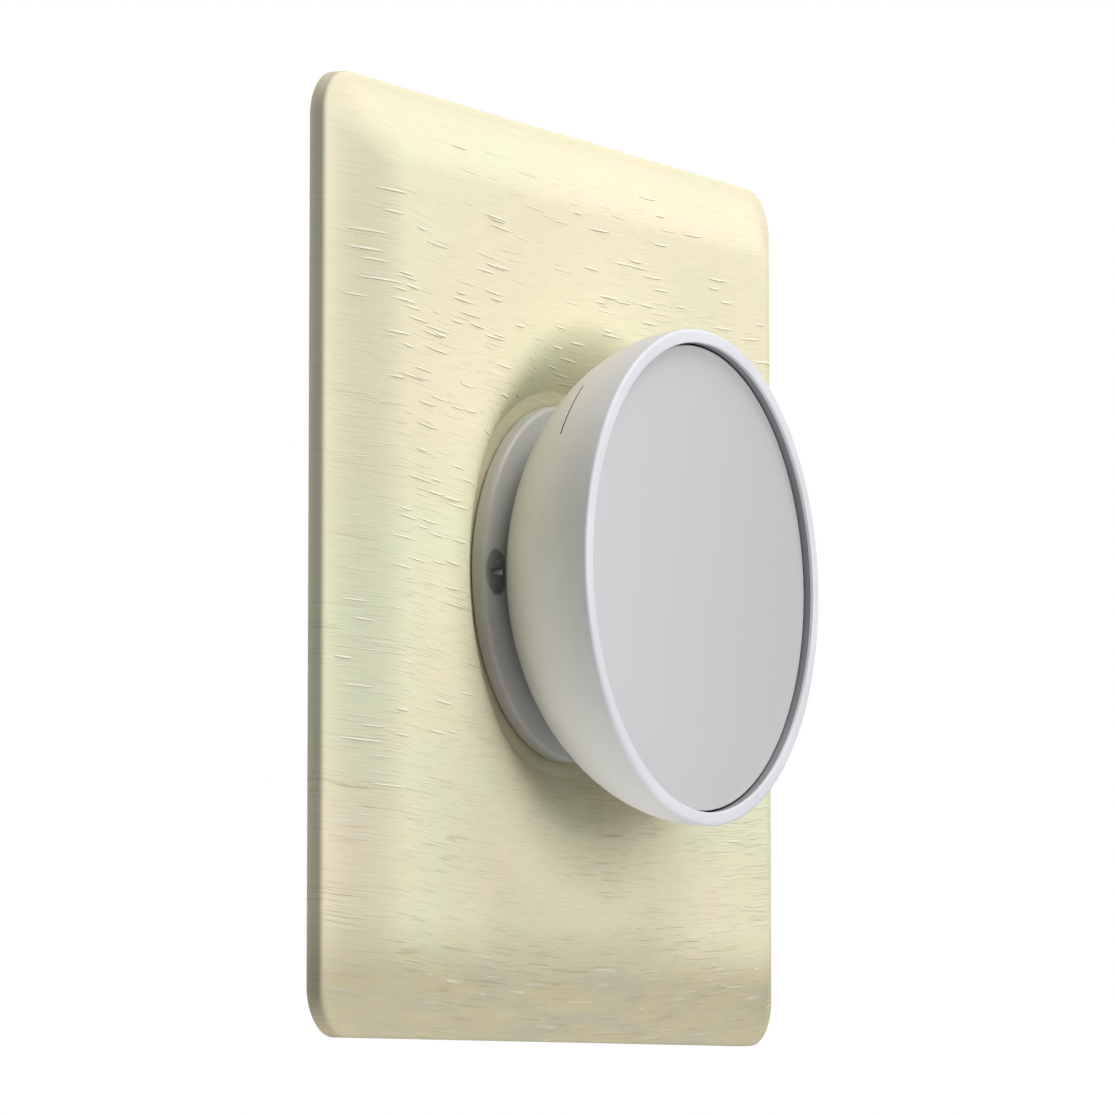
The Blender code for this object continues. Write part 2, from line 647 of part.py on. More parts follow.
def light_pipe():
    """A clear fan-shaped guide from the status light to the slit in the shell."""
    low, high = SLIT_ANGLES
    root_in, root_out, tip = 0.0266, 0.0292, 0.0372
    outline = ((root_in, inside(0.0139)), (root_out, inside(0.0139)), (root_out + 0.0004, inside(0.0108)),
               (tip, inside(SLIT_DEPTH + 0.0004)), (tip, inside(SLIT_DEPTH - 0.0004)),
               (root_out - 0.0006, inside(0.0098)), (root_in, inside(0.0108)))
    clear = material("light_pipe_clear", (0.85, 0.87, 0.88), 0.15)
    finish("light_pipe", turned(outline, 6, low, high - low), clear, head_twist)


# ---------------------------------------------------------------- smoke chamber
def smoke_chamber():
    """Base, vane cap, insect screen, infra-red emitter and photodiode."""
    tray = disc(CHAMBER_RADIUS, 0, 0.0011, 32)
    on_board("chamber_base", tray, material("chamber_black", DARK, 0.6), *CHAMBER_XZ)
    labyrinth_cap()
    insect_screen()
    chamber_lens("ir_emitter", material("emitter_tint", (0.12, 0.10, 0.22), 0.1), 205)
    chamber_lens("photodiode", material("photodiode_dark", (0.03, 0.03, 0.04), 0.1), 75)


def labyrinth_cap():
    """The chamber's lid with its ring of slanted vanes, which let smoke in but no light."""
    slab = disc(CHAMBER_RADIUS - 0.0008, VANE_TOP, CAP_TOP, 32)
    cap = on_board("labyrinth_cap", slab, material("labyrinth_black", DARK, 0.6), *CHAMBER_XZ)
    half_length, half_width = 0.00125, 0.0003
    slant = Matrix.Rotation(math.radians(38), 3, 'Y')
    for number in range(VANE_COUNT):
        vane = block(-half_length, half_length, -half_width, half_width, VANE_LOW, VANE_TOP + OVERLAP)
        bmesh.ops.rotate(vane, verts=vane.verts, matrix=slant)
        bmesh.ops.translate(vane, verts=vane.verts, vec=(VANE_CIRCLE, 0, 0))
        turn = Matrix.Rotation(-2 * math.pi * number / VANE_COUNT, 3, 'Y')
        bmesh.ops.rotate(vane, verts=vane.verts, matrix=turn)
        weld(cap, f"vane_{number + 1}", vane, cap.location)


def insect_screen():
    """A thin steel ring round the vanes with a row of windows."""
    inner, outer = CHAMBER_RADIUS - 0.0003, CHAMBER_RADIUS
    top = CAP_TOP - 0.0002
    ring = turned(((inner, VANE_LOW), (outer, VANE_LOW), (outer, top), (inner, top)), 32)
    screen = on_board("insect_screen", ring, material("screen_steel", STEEL, 0.35, 1.0), *CHAMBER_XZ)
    for number in range(SCREEN_WINDOWS):
        window = block(outer - CUT, outer + CUT, -0.0018, 0.0018, VANE_LOW + 0.0006, top - 0.0006)
        turn = Matrix.Rotation(-2 * math.pi * number / SCREEN_WINDOWS, 3, 'Y')
        bmesh.ops.rotate(window, verts=window.verts, matrix=turn)
        cut(screen, f"screen_window_{number + 1}", window, screen.location)


def chamber_lens(name, paint, angle):
    """A round-nosed infra-red diode inside the vanes that points at the chamber's middle."""
    x, z = CHAMBER_XZ
    radius = 0.0016
    lens = solid_turned(((0, 0), (radius, 0), (radius, 0.0030), (0.0012, 0.0040),
                         (0.0006, 0.0045), (0, 0.0046)), 16)
    bmesh.ops.rotate(lens, verts=lens.verts, matrix=Matrix.Rotation(-math.radians(90), 3, 'Z'))
    bmesh.ops.translate(lens, verts=lens.verts, vec=(0.0083, 0, 0))
    bmesh.ops.rotate(lens, verts=lens.verts, matrix=Matrix.Rotation(-math.radians(angle), 3, 'Y'))
    finish(name, lens, paint, head_twist, at(x, inside(BOARD_DEPTH) + 0.0036, z))


# ---------------------------------------------------------------- sounder
def sounder():
    """A resonator cup over a piezo disc, fed by two contact springs from the board."""
    x, z = SOUNDER_XZ
    height, wall, edge, port = 0.0070, 0.0009, 0.0008, 0.0016
    outline = ((port, height), (SOUNDER_RADIUS - edge, height), (SOUNDER_RADIUS, height - edge),
               (SOUNDER_RADIUS, 0), (SOUNDER_RADIUS - wall, 0), (SOUNDER_RADIUS - wall, height - wall),
               (port, height - wall))
    on_board("sounder_housing", turned(outline, 32), material("sounder_black", DARK, 0.4), x, z)
    brass = material("piezo_brass", (0.72, 0.53, 0.22), 0.3, 1.0)
    on_board("piezo_disc", disc(0.0087, 0.0034, 0.0037, 28), brass, x, z)
    ceramic = material("piezo_ceramic_white", (0.80, 0.79, 0.74), 0.5)
    on_board("piezo_ceramic", disc(0.0060, 0.0028, 0.0031, 24), ceramic, x, z)
    for number, offset, top in ((1, -0.0072, 0.0031), (2, 0.0030, 0.0025)):
        steel = material(f"sounder_contact_steel_{number}", STEEL, 0.3, 1.0)
        spring = tube_along(coil_points(3, 8, 0.0009, 0.0009, top - 0.0005), 0.00017, 4)
        bmesh.ops.translate(spring, verts=spring.verts, vec=at(0, 0.0002, 0))
        on_board(f"sounder_contact_{number}", spring, steel, x + offset, z)


# ---------------------------------------------------------------- test switch
def test_switch():
    """A tactile switch with a plunger that the face's boss pushes."""
    x, z = SWITCH_XZ
    half = SWITCH_SIZE / 2
    base = inside(BOARD_DEPTH) + COMPONENT_SEAT
    grey = material("switch_grey", (0.20, 0.20, 0.21), 0.45)
    housing = block(-half, half, -half, half, 0, 0.0035)
    body = finish("switch_body", housing, grey, head_twist, at(x, base, z))
    cut(body, "switch_bore", disc(0.0020, 0.0006, 0.005, 16), body.location)
    foot, radius, edge = 0.0016, 0.0017, 0.0002
    stem = solid_turned(((0, foot), (radius, foot), (radius, PLUNGER_TOP - edge),
                         (radius - edge, PLUNGER_TOP), (0, PLUNGER_TOP)), 16)
    finish("switch_plunger", stem, material("plunger_black", DARK, 0.4), switch_press, at(x, base, z))


# ---------------------------------------------------------------- face
def face():
    """The grey disc, the tape that holds it and the carrier with its boss, pins and legs."""
    front = inside(FACE_RECESS)
    edge = 0.0002
    low = front - FACE_THICKNESS
    outline = ((0, low), (FACE_RADIUS, low), (FACE_RADIUS, front - edge),
               (FACE_RADIUS - edge, front), (0, front))
    finish("face_disc", solid_turned(outline, 60), material("face_grey", GREY, 0.35), face_press)
    tape_top = low - GAP
    tape_in, tape_out = TAPE_RADII
    tape_back = tape_top - TAPE_THICKNESS
    tape = ((tape_in, tape_back), (tape_out, tape_back), (tape_out, tape_top), (tape_in, tape_top))
    finish("face_adhesive", turned(tape, 36), material("tape_black", DARK, 0.7), face_press)
    top = tape_back - GAP
    bottom = top - CARRIER_THICKNESS
    slab = disc(CARRIER_RADIUS, bottom, top, 48)
    carrier = finish("face_carrier", slab, material("carrier_black", DARK, 0.5), face_press)
    root = bottom + OVERLAP
    boss_end = inside(BOARD_DEPTH) + COMPONENT_SEAT + PLUNGER_TOP + GAP
    weld(carrier, "carrier_boss", disc(0.0022, boss_end, root, 16), (SWITCH_XZ[0], 0, SWITCH_XZ[1]))
    leg_in, leg_out, barb = 0.0316, 0.0326, 0.0334
    tip, barb_top = inside(0.0134), inside(CATCH_DEPTHS[1] + GAP)
    leg = ((leg_in, tip), (barb - GAP, tip), (barb, inside(0.0130)), (barb, barb_top),
           (leg_out, barb_top), (leg_out, root), (leg_in, root))
    for number, middle in enumerate(LEG_ANGLES, 1):
        arc = turned(leg, 3, middle - LEG_HALF_ANGLE + 0.5, 2 * LEG_HALF_ANGLE - 1)
        weld(carrier, f"carrier_leg_{number}", arc)
    for number, angle in enumerate(PILLAR_ANGLES, 1):
        x, z = polar(PILLAR_CIRCLE, angle)
        weld(carrier, f"carrier_pin_{number}", disc(0.0009, inside(0.0118), root, 12), (x, 0, z))
    return bottom


def return_springs(carrier_back):
    """Three coils in the chassis pillars that push the face forward again."""
    low = inside(PILLAR_FLOOR) + GAP + SPRING_WIRE
    length = carrier_back - GAP - SPRING_WIRE - low
    for number, angle in enumerate(PILLAR_ANGLES, 1):
        x, z = polar(PILLAR_CIRCLE, angle)
        steel = material(f"return_spring_steel_{number}", STEEL, 0.3, 1.0)
        coil = tube_along(coil_points(5, 10, 0.0015, 0.0015, length), SPRING_WIRE, 4)
        finish(f"return_spring_{number}", coil, steel, face_press, at(x, low, z))


mounting_plate()
mounting_base()
wall_screws()
shell()
rear_cover()
cover_screws()
chassis()
battery_cradle()
battery_cell()
battery_contacts()
main_board()
board_components()
light_pipe()
smoke_chamber()
sounder()
test_switch()
return_springs(face())
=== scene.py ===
"""Looks of the smoke detector on its square mounting plate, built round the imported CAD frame.

Units are metres. The wall is the plane y = 0, the detector faces -Y, +Z is up and +X is to the
right. A distance in front of the wall is called forward, so y = -forward; a depth inside the
head is counted back from the plane of its rim.
"""
import math
import random

import bmesh
import bpy
from mathutils import Matrix, Vector


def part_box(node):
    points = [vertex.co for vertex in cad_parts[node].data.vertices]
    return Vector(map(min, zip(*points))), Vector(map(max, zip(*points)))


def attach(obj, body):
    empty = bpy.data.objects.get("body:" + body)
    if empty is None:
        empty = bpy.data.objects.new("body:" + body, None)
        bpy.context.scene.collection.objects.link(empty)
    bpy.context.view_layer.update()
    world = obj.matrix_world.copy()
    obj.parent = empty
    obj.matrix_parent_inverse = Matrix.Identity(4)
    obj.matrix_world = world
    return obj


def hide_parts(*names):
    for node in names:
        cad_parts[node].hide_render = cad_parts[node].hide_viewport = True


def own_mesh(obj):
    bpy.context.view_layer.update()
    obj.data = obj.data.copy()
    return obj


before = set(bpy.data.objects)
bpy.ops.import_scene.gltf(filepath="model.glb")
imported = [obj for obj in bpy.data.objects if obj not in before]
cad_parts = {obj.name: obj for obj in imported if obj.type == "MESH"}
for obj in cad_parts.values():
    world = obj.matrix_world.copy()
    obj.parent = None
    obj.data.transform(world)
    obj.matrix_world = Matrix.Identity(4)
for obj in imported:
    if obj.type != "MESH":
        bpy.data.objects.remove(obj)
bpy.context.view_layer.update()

# ---------------------------------------------------------------- sizes read from the frame
plate_low, plate_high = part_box("mounting_plate")
shell_low, shell_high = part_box("shell")
base_low, base_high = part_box("mounting_base")
face_low, face_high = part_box("face_disc")
cover_low, cover_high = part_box("rear_cover")
cell_low, cell_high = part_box("battery_cell")

PLATE_HALF = plate_high.x
PLATE_HEIGHT = -plate_low.y
RIM_FORWARD = -shell_low.y
HEAD_RADIUS = shell_high.x
FACE_RADIUS = (face_high.x - face_low.x) / 2
FACE_FRONT = -face_low.y
FACE_BACK = -face_high.y

# ---------------------------------------------------------------- shape values shared with the CAD
PLATE_CORNER = 0.008
PLATE_EDGE = 0.003
PLATE_WALL = 0.0024
PLATE_BEVEL = 0.015
DISH_RADIUS = 0.0455
DISH_FLOOR_RADIUS = 0.033
CABLE_HOLE_RADIUS = 0.016
SLOT_CIRCLE_RADIUS = 0.0262
SLOT_LENGTH = 0.012
SLOT_WIDTH = 0.0048
BOWL_DEPTH = 0.0308
BOWL_WALL = 0.002
MOUTH_RADIUS = 0.03967
MOUTH_DEPTH = 0.0045
SLIT_DEPTH = 0.0095
SLIT_WIDTH = 0.0003
SLIT_ANGLES = (130.5, 147.5)
RIM_FILLET = 0.0006
RIM_INNER_FILLET = 0.0002
CATCH_RADII = (0.0329, 0.0376)
CATCH_DEPTHS = (0.0104, 0.0120)
CATCH_ANGLES = (50, 170, 290)
CATCH_HALF_ANGLE = 4
SPRING_WIRE = 0.00022
TWIST_TRAVEL = 18.0  # degrees
CLEARANCE = 0.0003

# ---------------------------------------------------------------- values of the looks alone
GROOVE_DEPTH = 0.0006  # the bowl's mouth is white down to here,
WHITE_WALL_DEPTH = 0.0019  # painted grey for shade down to here
BLACK_DEPTH = 0.020  # and painted black for deep shade down to here
SPRING_RADIUS = 0.00148
BRUSH_SAG = 0.65  # the brushed lines follow z = BRUSH_SAG * x * x
PLATE_SPAN = 0.16  # the height over which the plate's colour changes
BOLD_SLIVERS, FINE_SLIVERS = 210, 900
SMOOTH_ANGLE = 40  # degrees: a sharper edge than this stays sharp
SHARP_ANGLE = 38  # the same for the pieces kept from the CAD
MERGE = 1e-7  # points closer than this are one point
ROUND = 224  # segments of the bowl and the face


# ---------------------------------------------------------------- mesh helpers
def at(x, forward, z):
    """A place given by its distance in front of the wall."""
    return Vector((x, -forward, z))


def ring_point(radius, forward, angle):
    """A point round the Y axis, its angle in radians from +X towards +Z."""
    return Vector((radius * math.cos(angle), -forward, radius * math.sin(angle)))


def inside(depth):
    """The forward distance of a depth behind the head's rim."""
    return RIM_FORWARD - depth


def polar(radius, degrees):
    """An x, z pair on a circle round the detector's axis."""
    return radius * math.cos(math.radians(degrees)), radius * math.sin(math.radians(degrees))


def quarter_turn(steps):
    """The angles from 0 to 90 degrees in equal steps, in radians."""
    return [math.pi / 2 * step / steps for step in range(steps + 1)]


def ring(shape, radius, forward, segments):
    """New vertices round the Y axis."""
    return [shape.verts.new(ring_point(radius, forward, 2 * math.pi * i / segments))
            for i in range(segments)]


def bridge(shape, row, following):
    """Joins two rows of equal length with quads."""
    for i in range(len(row)):
        j = (i + 1) % len(row)
        shape.faces.new((row[i], row[j], following[j], following[i]))


def loft(shape, loops, closed=False):
    """Joins loops of equal length with quads; closed also joins the last to the first."""
    rows = [[shape.verts.new(point) for point in loop] for loop in loops]
    for row, following in zip(rows, rows[1:]):
        bridge(shape, row, following)
    if closed:
        bridge(shape, rows[-1], rows[0])
    return rows


def turned(outline, segments, start=0.0, sweep=360.0):
    """A closed (radius, forward) outline turned round the Y axis, all round or over an arc."""
    shape = bmesh.new()
    whole = sweep >= 360.0
    loops = []
    for step in range(segments if whole else segments + 1):
        angle = math.radians(start + sweep * step / segments)
        loops.append([ring_point(r, f, angle) for r, f in outline])
    rows = loft(shape, loops, closed=whole)
    if not whole:
        shape.faces.new(rows[0])
        shape.faces.new(rows[-1])
    bmesh.ops.remove_doubles(shape, verts=shape.verts, dist=MERGE)
    empty = [face for face in shape.faces if face.calc_area() < MERGE ** 2]
    bmesh.ops.delete(shape, geom=empty, context='FACES')
    return shape


def spun(outline, segments):
    """Like turned, for an outline whose first and last points lie on the axis."""
    shape = bmesh.new()
    first = shape.verts.new(at(0, outline[0][1], 0))
    last = shape.verts.new(at(0, outline[-1][1], 0))
    rings = [ring(shape, r, f, segments) for r, f in outline[1:-1]]
    for i in range(segments):
        j = (i + 1) % segments
        shape.faces.new((first, rings[0][i], rings[0][j]))
        shape.faces.new((last, rings[-1][j], rings[-1][i]))
        for row, following in zip(rings, rings[1:]):
            shape.faces.new((row[i], row[j], following[j], following[i]))
    return shape


def oblong(radii, forwards):
    """A closed oblong (radius, forward) outline, from its first corner round."""
    (inner, outer), (low, high) = radii, forwards
    return [(inner, low), (outer, low), (outer, high), (inner, high)]


def prism(points, forward_low, forward_high):
    """A closed x, z outline raised between two distances in front of the wall."""
    shape = bmesh.new()
    low = [shape.verts.new(at(x, forward_low, z)) for x, z in points]
    high = [shape.verts.new(at(x, forward_high, z)) for x, z in points]
    shape.faces.new(low)
    shape.faces.new(high)
    bridge(shape, low, high)
    return shape


def finish_mesh(name, shape, materials, smooth=SMOOTH_ANGLE):
    """Turns a bmesh into an object with outward faces, smooth where it is round."""
    bmesh.ops.recalc_face_normals(shape, faces=shape.faces)
    mesh = bpy.data.meshes.new(name)
    shape.to_mesh(mesh)
    shape.free()
    mesh.shade_smooth()
    mesh.set_sharp_from_angle(angle=math.radians(smooth))
    for paint in materials:
        mesh.materials.append(paint)
    made = bpy.data.objects.new(name, mesh)
    bpy.context.scene.collection.objects.link(made)
    return made


def baked(piece):
    """Applies a piece's modifiers, merges its crumbs and marks its sharp edges again."""
    bpy.context.view_layer.update()
    graph = bpy.context.evaluated_depsgraph_get()
    mesh = bpy.data.meshes.new_from_object(piece.evaluated_get(graph))
    piece.modifiers.clear()
    old = piece.data
    piece.data = mesh
    bpy.data.meshes.remove(old)
    shape = bmesh.new()
    shape.from_mesh(mesh)
    bmesh.ops.remove_doubles(shape, verts=shape.verts, dist=5 * MERGE)
    bmesh.ops.dissolve_degenerate(shape, dist=5 * MERGE, edges=shape.edges)
    shape.to_mesh(mesh)
    shape.free()
    mesh.shade_smooth()
    mesh.set_sharp_from_angle(angle=math.radians(SMOOTH_ANGLE))


def carve(piece, shapes, operation='DIFFERENCE'):
    """Cuts or joins several closed shapes, then removes the tools."""
    tools = []
    for shape in shapes:
        tool = finish_mesh("tool", shape, piece.data.materials[:1])
        change = piece.modifiers.new("carve", 'BOOLEAN')
        change.operation = operation
        change.object = tool
        change.solver = 'EXACT'
        tools.append(tool)
    baked(piece)
    for tool in tools:
        bpy.data.objects.remove(tool)


# ---------------------------------------------------------------- material helpers
class Nodes:
    """Short forms for building a material's node tree."""

    def __init__(self, name):
        self.material = bpy.data.materials.new(name)
        self.material.use_nodes = True
        self.tree = self.material.node_tree
        self.shader = self.tree.nodes["Principled BSDF"]
        self.coords = self.tree.nodes.new("ShaderNodeTexCoord").outputs["Object"]

    def new(self, kind, **inputs):
        node = self.tree.nodes.new(kind)
        for key, value in inputs.items():
            node.inputs[key.replace("_", " ")].default_value = value
        return node

    def link(self, source, target):
        self.tree.links.new(source, target)

    def place(self):
        """The X and Z of a point on the piece."""
        split = self.new("ShaderNodeSeparateXYZ")
        self.link(self.coords, split.inputs[0])
        return split.outputs["X"], split.outputs["Z"]

    def scaled(self, scale, offset=(0, 0, 0), turn=(0, 0, 0), source=None):
        mapping = self.new("ShaderNodeMapping", Scale=scale, Location=offset, Rotation=turn)
        self.link(source or self.coords, mapping.inputs["Vector"])
        return mapping.outputs["Vector"]

    def noise(self, scale, offset=(0, 0, 0), detail=3.0, roughness=0.5, source=None):
        node = self.new("ShaderNodeTexNoise", Scale=1.0, Detail=detail, Roughness=roughness)
        self.link(self.scaled(scale, offset, source=source), node.inputs["Vector"])
        return node.outputs["Fac"]

    def ramp(self, source, *stops):
        node = self.tree.nodes.new("ShaderNodeValToRGB")
        ramp = node.color_ramp
        while len(ramp.elements) < len(stops):
            ramp.elements.new(0.5)
        for element, (place, colour) in zip(ramp.elements, stops):
            element.position = place
            value = colour if isinstance(colour, tuple) else (colour,) * 3
            element.color = (*value, 1.0)
        self.link(source, node.inputs["Fac"])
        return node.outputs["Color"]

    def mix(self, share, first, second):
        node = self.tree.nodes.new("ShaderNodeMix")
        node.data_type = 'RGBA'
        for value, number in ((share, 0), (first, 6), (second, 7)):
            socket = node.inputs[number]
            if isinstance(value, bpy.types.NodeSocket):
                self.link(value, socket)
            elif isinstance(value, tuple):
                socket.default_value = (*value, 1.0)
            else:
                socket.default_value = value
        return node.outputs[2]

    def maths(self, operation, first, second=0.0):
        node = self.tree.nodes.new("ShaderNodeMath")
        node.operation = operation
        for value, socket in zip((first, second), node.inputs):
            if isinstance(value, bpy.types.NodeSocket):
                self.link(value, socket)
            else:
                socket.default_value = value
        return node.outputs[0]

    def bump(self, height, distance, strength, before=None):
        node = self.new("ShaderNodeBump", Strength=strength, Distance=distance)
        self.link(height, node.inputs["Height"])
        if before is not None:
            self.link(before, node.inputs["Normal"])
        return node.outputs["Normal"]

    def finish(self, colour=None, roughness=None, normal=None, **constants):
        for value, name in ((colour, "Base Color"), (roughness, "Roughness"), (normal, "Normal")):
            socket = self.shader.inputs[name]
            if isinstance(value, bpy.types.NodeSocket):
                self.link(value, socket)
            elif isinstance(value, tuple):
                socket.default_value = (*value, 1.0)
            elif value is not None:
                socket.default_value = value
        for key, value in constants.items():
            self.shader.inputs[key.replace("_", " ")].default_value = value
        return self.material


def ivory_plastic():
    """Mottled ivory with pale green and peach clouds, brushed by fine lines that sag along X; its
    dashes and its tan foot are partly painted light and shade.
    """
    n = Nodes("ivory_plastic")
    x, z = n.place()
    sag = n.maths('MULTIPLY', n.maths('MULTIPLY', x, x), BRUSH_SAG)
    brushed = n.new("ShaderNodeCombineXYZ")
    n.link(x, brushed.inputs["X"])
    n.link(n.maths('SUBTRACT', z, sag), brushed.inputs["Z"])

    def lines(scale, offset, detail=2.0):
        return n.noise(scale, offset, detail, 0.6, source=brushed.outputs[0])

    green, ivory, peach = (0.81, 0.83, 0.575), (0.85, 0.80, 0.55), (0.90, 0.805, 0.58)
    clouds = n.noise((28, 28, 36), (0.4, 0.0, 0.2), detail=2.0)
    colour = n.ramp(clouds, (0.34, green), (0.48, ivory), (0.66, peach))
    warm = n.ramp(n.noise((16, 16, 22), (3.1, 0.0, 1.7), detail=1.5), (0.52, 0.0), (0.72, 0.5))
    colour = n.mix(warm, colour, (0.88, 0.77, 0.53))
    down = n.maths('ADD', n.maths('MULTIPLY', z, -1 / PLATE_SPAN), 0.5)
    low = n.ramp(down, (0.25, 0.0), (0.80, 1.0))
    # Towards the bottom edge the ivory turns tan: partly its own stain, partly painted shade on the
    # bevel that faces down.
    foot = n.ramp(down, (0.865, 0.0), (0.925, 0.85))
    stain_and_shade = n.mix(n.ramp(lines((45, 0, 260), (2.0, 0.0, 0.0)), (0.42, 0.0), (0.60, 1.0)),
                  (0.64, 0.55, 0.34), (0.56, 0.51, 0.36))
    colour = n.mix(foot, colour, stain_and_shade)
    dashes = lines((75, 0, 2300), (0.0, 0.0, 5.0))
    hair = lines((130, 0, 5200), (4.0, 0.0, 1.0), detail=1.0)
    patches = n.ramp(n.noise((40, 40, 110), (7.0, 0.0, 0.0), detail=2.0), (0.38, 0.1), (0.62, 1.0))
    share = n.maths('MULTIPLY', patches, n.maths('ADD', n.maths('MULTIPLY', low, 0.8), 0.2))
    # Pale and dark dashes along the brushed lines: partly streaks in the plastic, partly painted
    # highlight and painted shadow of raised streaks.
    dark_streak_and_shadow = n.maths('MULTIPLY', n.ramp(dashes, (0.58, 0.0), (0.68, 1.0)), share)
    light = n.maths('MULTIPLY', n.ramp(dashes, (0.32, 1.0), (0.42, 0.0)), share)
    colour = n.mix(n.maths('MULTIPLY', dark_streak_and_shadow, 0.52), colour, (0.56, 0.47, 0.29))
    colour = n.mix(n.maths('MULTIPLY', light, 0.55), colour, (0.95, 0.93, 0.78))
    colour = n.mix(n.ramp(hair, (0.52, 0.0), (0.66, 0.20)), colour, (0.60, 0.50, 0.30))
    height = n.maths('ADD', n.maths('MULTIPLY', hair, 0.35), n.maths('SUBTRACT', light, dark_streak_and_shadow))
    swell = n.noise((60, 60, 160), (0.0, 4.0, 0.0), detail=2.0)
    rough = n.ramp(hair, (0.35, 0.56), (0.65, 0.68))
    normal = n.bump(swell, 0.0004, 0.30)
    normal = n.bump(height, 0.00010, 0.9, normal)
    return n.finish(colour, rough, normal, Specular_IOR_Level=0.30)


def moulded(name, colour, roughness, grain=1400, relief=0.00002, coat=0.0):
    """Moulded plastic with a faint spark-eroded grain and uneven gloss."""
    n = Nodes(name)
    fine = n.noise((grain, grain, grain), detail=2.0, roughness=0.55)
    broad = n.noise((45, 45, 45), (2.0, 1.0, 0.0), detail=2.0)
    shade = tuple(c * 0.93 for c in colour)
    tint = n.mix(n.ramp(broad, (0.35, 0.0), (0.65, 1.0)), shade, colour)
    rough = n.ramp(broad, (0.30, max(roughness - 0.04, 0.02)), (0.70, roughness + 0.04))
    normal = n.bump(fine, relief, 0.5)
    return n.finish(tint, rough, normal, Coat_Weight=coat, Coat_Roughness=0.12)


def metal(name, colour, roughness):
    """Bare metal with drawn or rolled lines."""
    n = Nodes(name)
    lines = n.noise((300, 300, 6000), detail=3.0, roughness=0.6)
    broad = n.noise((90, 90, 90), (1.0, 0.0, 3.0), detail=2.0)
    shade = tuple(c * 0.80 for c in colour)
    tint = n.mix(n.ramp(broad, (0.35, 0.0), (0.70, 1.0)), shade, colour)
    rough = n.ramp(lines, (0.30, roughness * 0.75), (0.70, roughness * 1.3))
    normal = n.bump(lines, 0.00001, 0.6)
    return n.finish(tint, rough, normal, Metallic=1.0)


def circuit_board():
    """Green solder mask over faint copper tracks, which run in long staggered rows."""
    n = Nodes("circuit_board")
    tracks = n.new("ShaderNodeTexBrick", Scale=1.0, Mortar_Size=0.16, Mortar_Smooth=0.2,
                   Brick_Width=9.0, Row_Height=0.62, Mortar=(0, 0, 0, 1),
                   Color1=(1, 1, 1, 1), Color2=(0.7, 0.7, 0.7, 1))
    tracks.offset, tracks.offset_frequency = 0.37, 3
    laid = (math.radians(90), 0, math.radians(45))
    n.link(n.scaled((850, 850, 850), turn=laid), tracks.inputs["Vector"])
    routed = n.ramp(n.noise((110, 110, 110), (0.0, 5.0, 2.0), detail=1.0), (0.50, 0.0), (0.52, 1.0))
    copper = n.maths('MULTIPLY', routed, tracks.outputs["Color"])
    fine = n.noise((900, 900, 900), detail=2.0)
    colour = n.mix(copper, (0.018, 0.155, 0.055), (0.05, 0.26, 0.09))
    rough = n.ramp(fine, (0.3, 0.28), (0.7, 0.4))
    normal = n.bump(copper, 0.00004, 0.6)
    return n.finish(colour, rough, normal, Coat_Weight=0.3, Coat_Roughness=0.15)


def clear_plastic(name, colour, roughness, transmission=1.0):
    """Clear or tinted acrylic with a slightly uneven surface."""
    n = Nodes(name)
    fine = n.noise((500, 500, 500), detail=2.0)
    rough = n.ramp(fine, (0.3, roughness), (0.7, roughness + 0.05))
    normal = n.bump(fine, 0.00001, 0.4)
    return n.finish(colour, rough, normal, Transmission_Weight=transmission, IOR=1.49)


def grey_face():
    """Smooth neutral grey of the face, faintly cloudy, with painted light: paler towards its lower
    left, darker towards its upper right.
    """
    n = Nodes("grey_face")
    broad = n.noise((22, 22, 22), (0.0, 2.0, 1.0), detail=2.0)
    fine = n.noise((2600, 2600, 2600), detail=2.0)
    x, z = n.place()
    # painted light: a fixed fall from pale at the lower left to darker at the upper right, to which
    # the cloud is added
    painted_light_and_cloud = n.maths('ADD', n.maths('MULTIPLY', x, 10.5), n.maths('MULTIPLY', z, 3.5))
    cloud = n.maths('MULTIPLY', n.maths('SUBTRACT', broad, 0.5), 0.35)
    painted_light_and_cloud = n.maths('ADD', n.maths('ADD', painted_light_and_cloud, 0.5), cloud)
    colour = n.ramp(painted_light_and_cloud, (0.0, (0.715, 0.712, 0.70)), (1.0, (0.585, 0.583, 0.578)))
    rough = n.ramp(broad, (0.3, 0.33), (0.7, 0.40))
    normal = n.bump(fine, 0.000006, 0.4)
    return n.finish(colour, rough, normal, Coat_Weight=0.15, Coat_Roughness=0.25)


IVORY = ivory_plastic()
# The slivers' upper faces are painted lighter as painted light and their steep lower faces darker
# as painted shade.
FLAKE_LIT_TOP = moulded("flake_painted_light_top", (0.93, 0.90, 0.72), 0.55)
FLAKE_SHADE = moulded("flake_shade", (0.62, 0.55, 0.37), 0.65)
WHITE_SATIN = moulded("white_plastic", (0.848, 0.848, 0.862), 0.44, grain=1100, relief=0.00001)
WHITE_MATTE = moulded("white_matte_plastic", (0.80, 0.80, 0.79), 0.48)
NATURAL = moulded("natural_plastic", (0.78, 0.775, 0.74), 0.45)
BLACK = moulded("black_plastic", (0.022, 0.022, 0.024), 0.5)
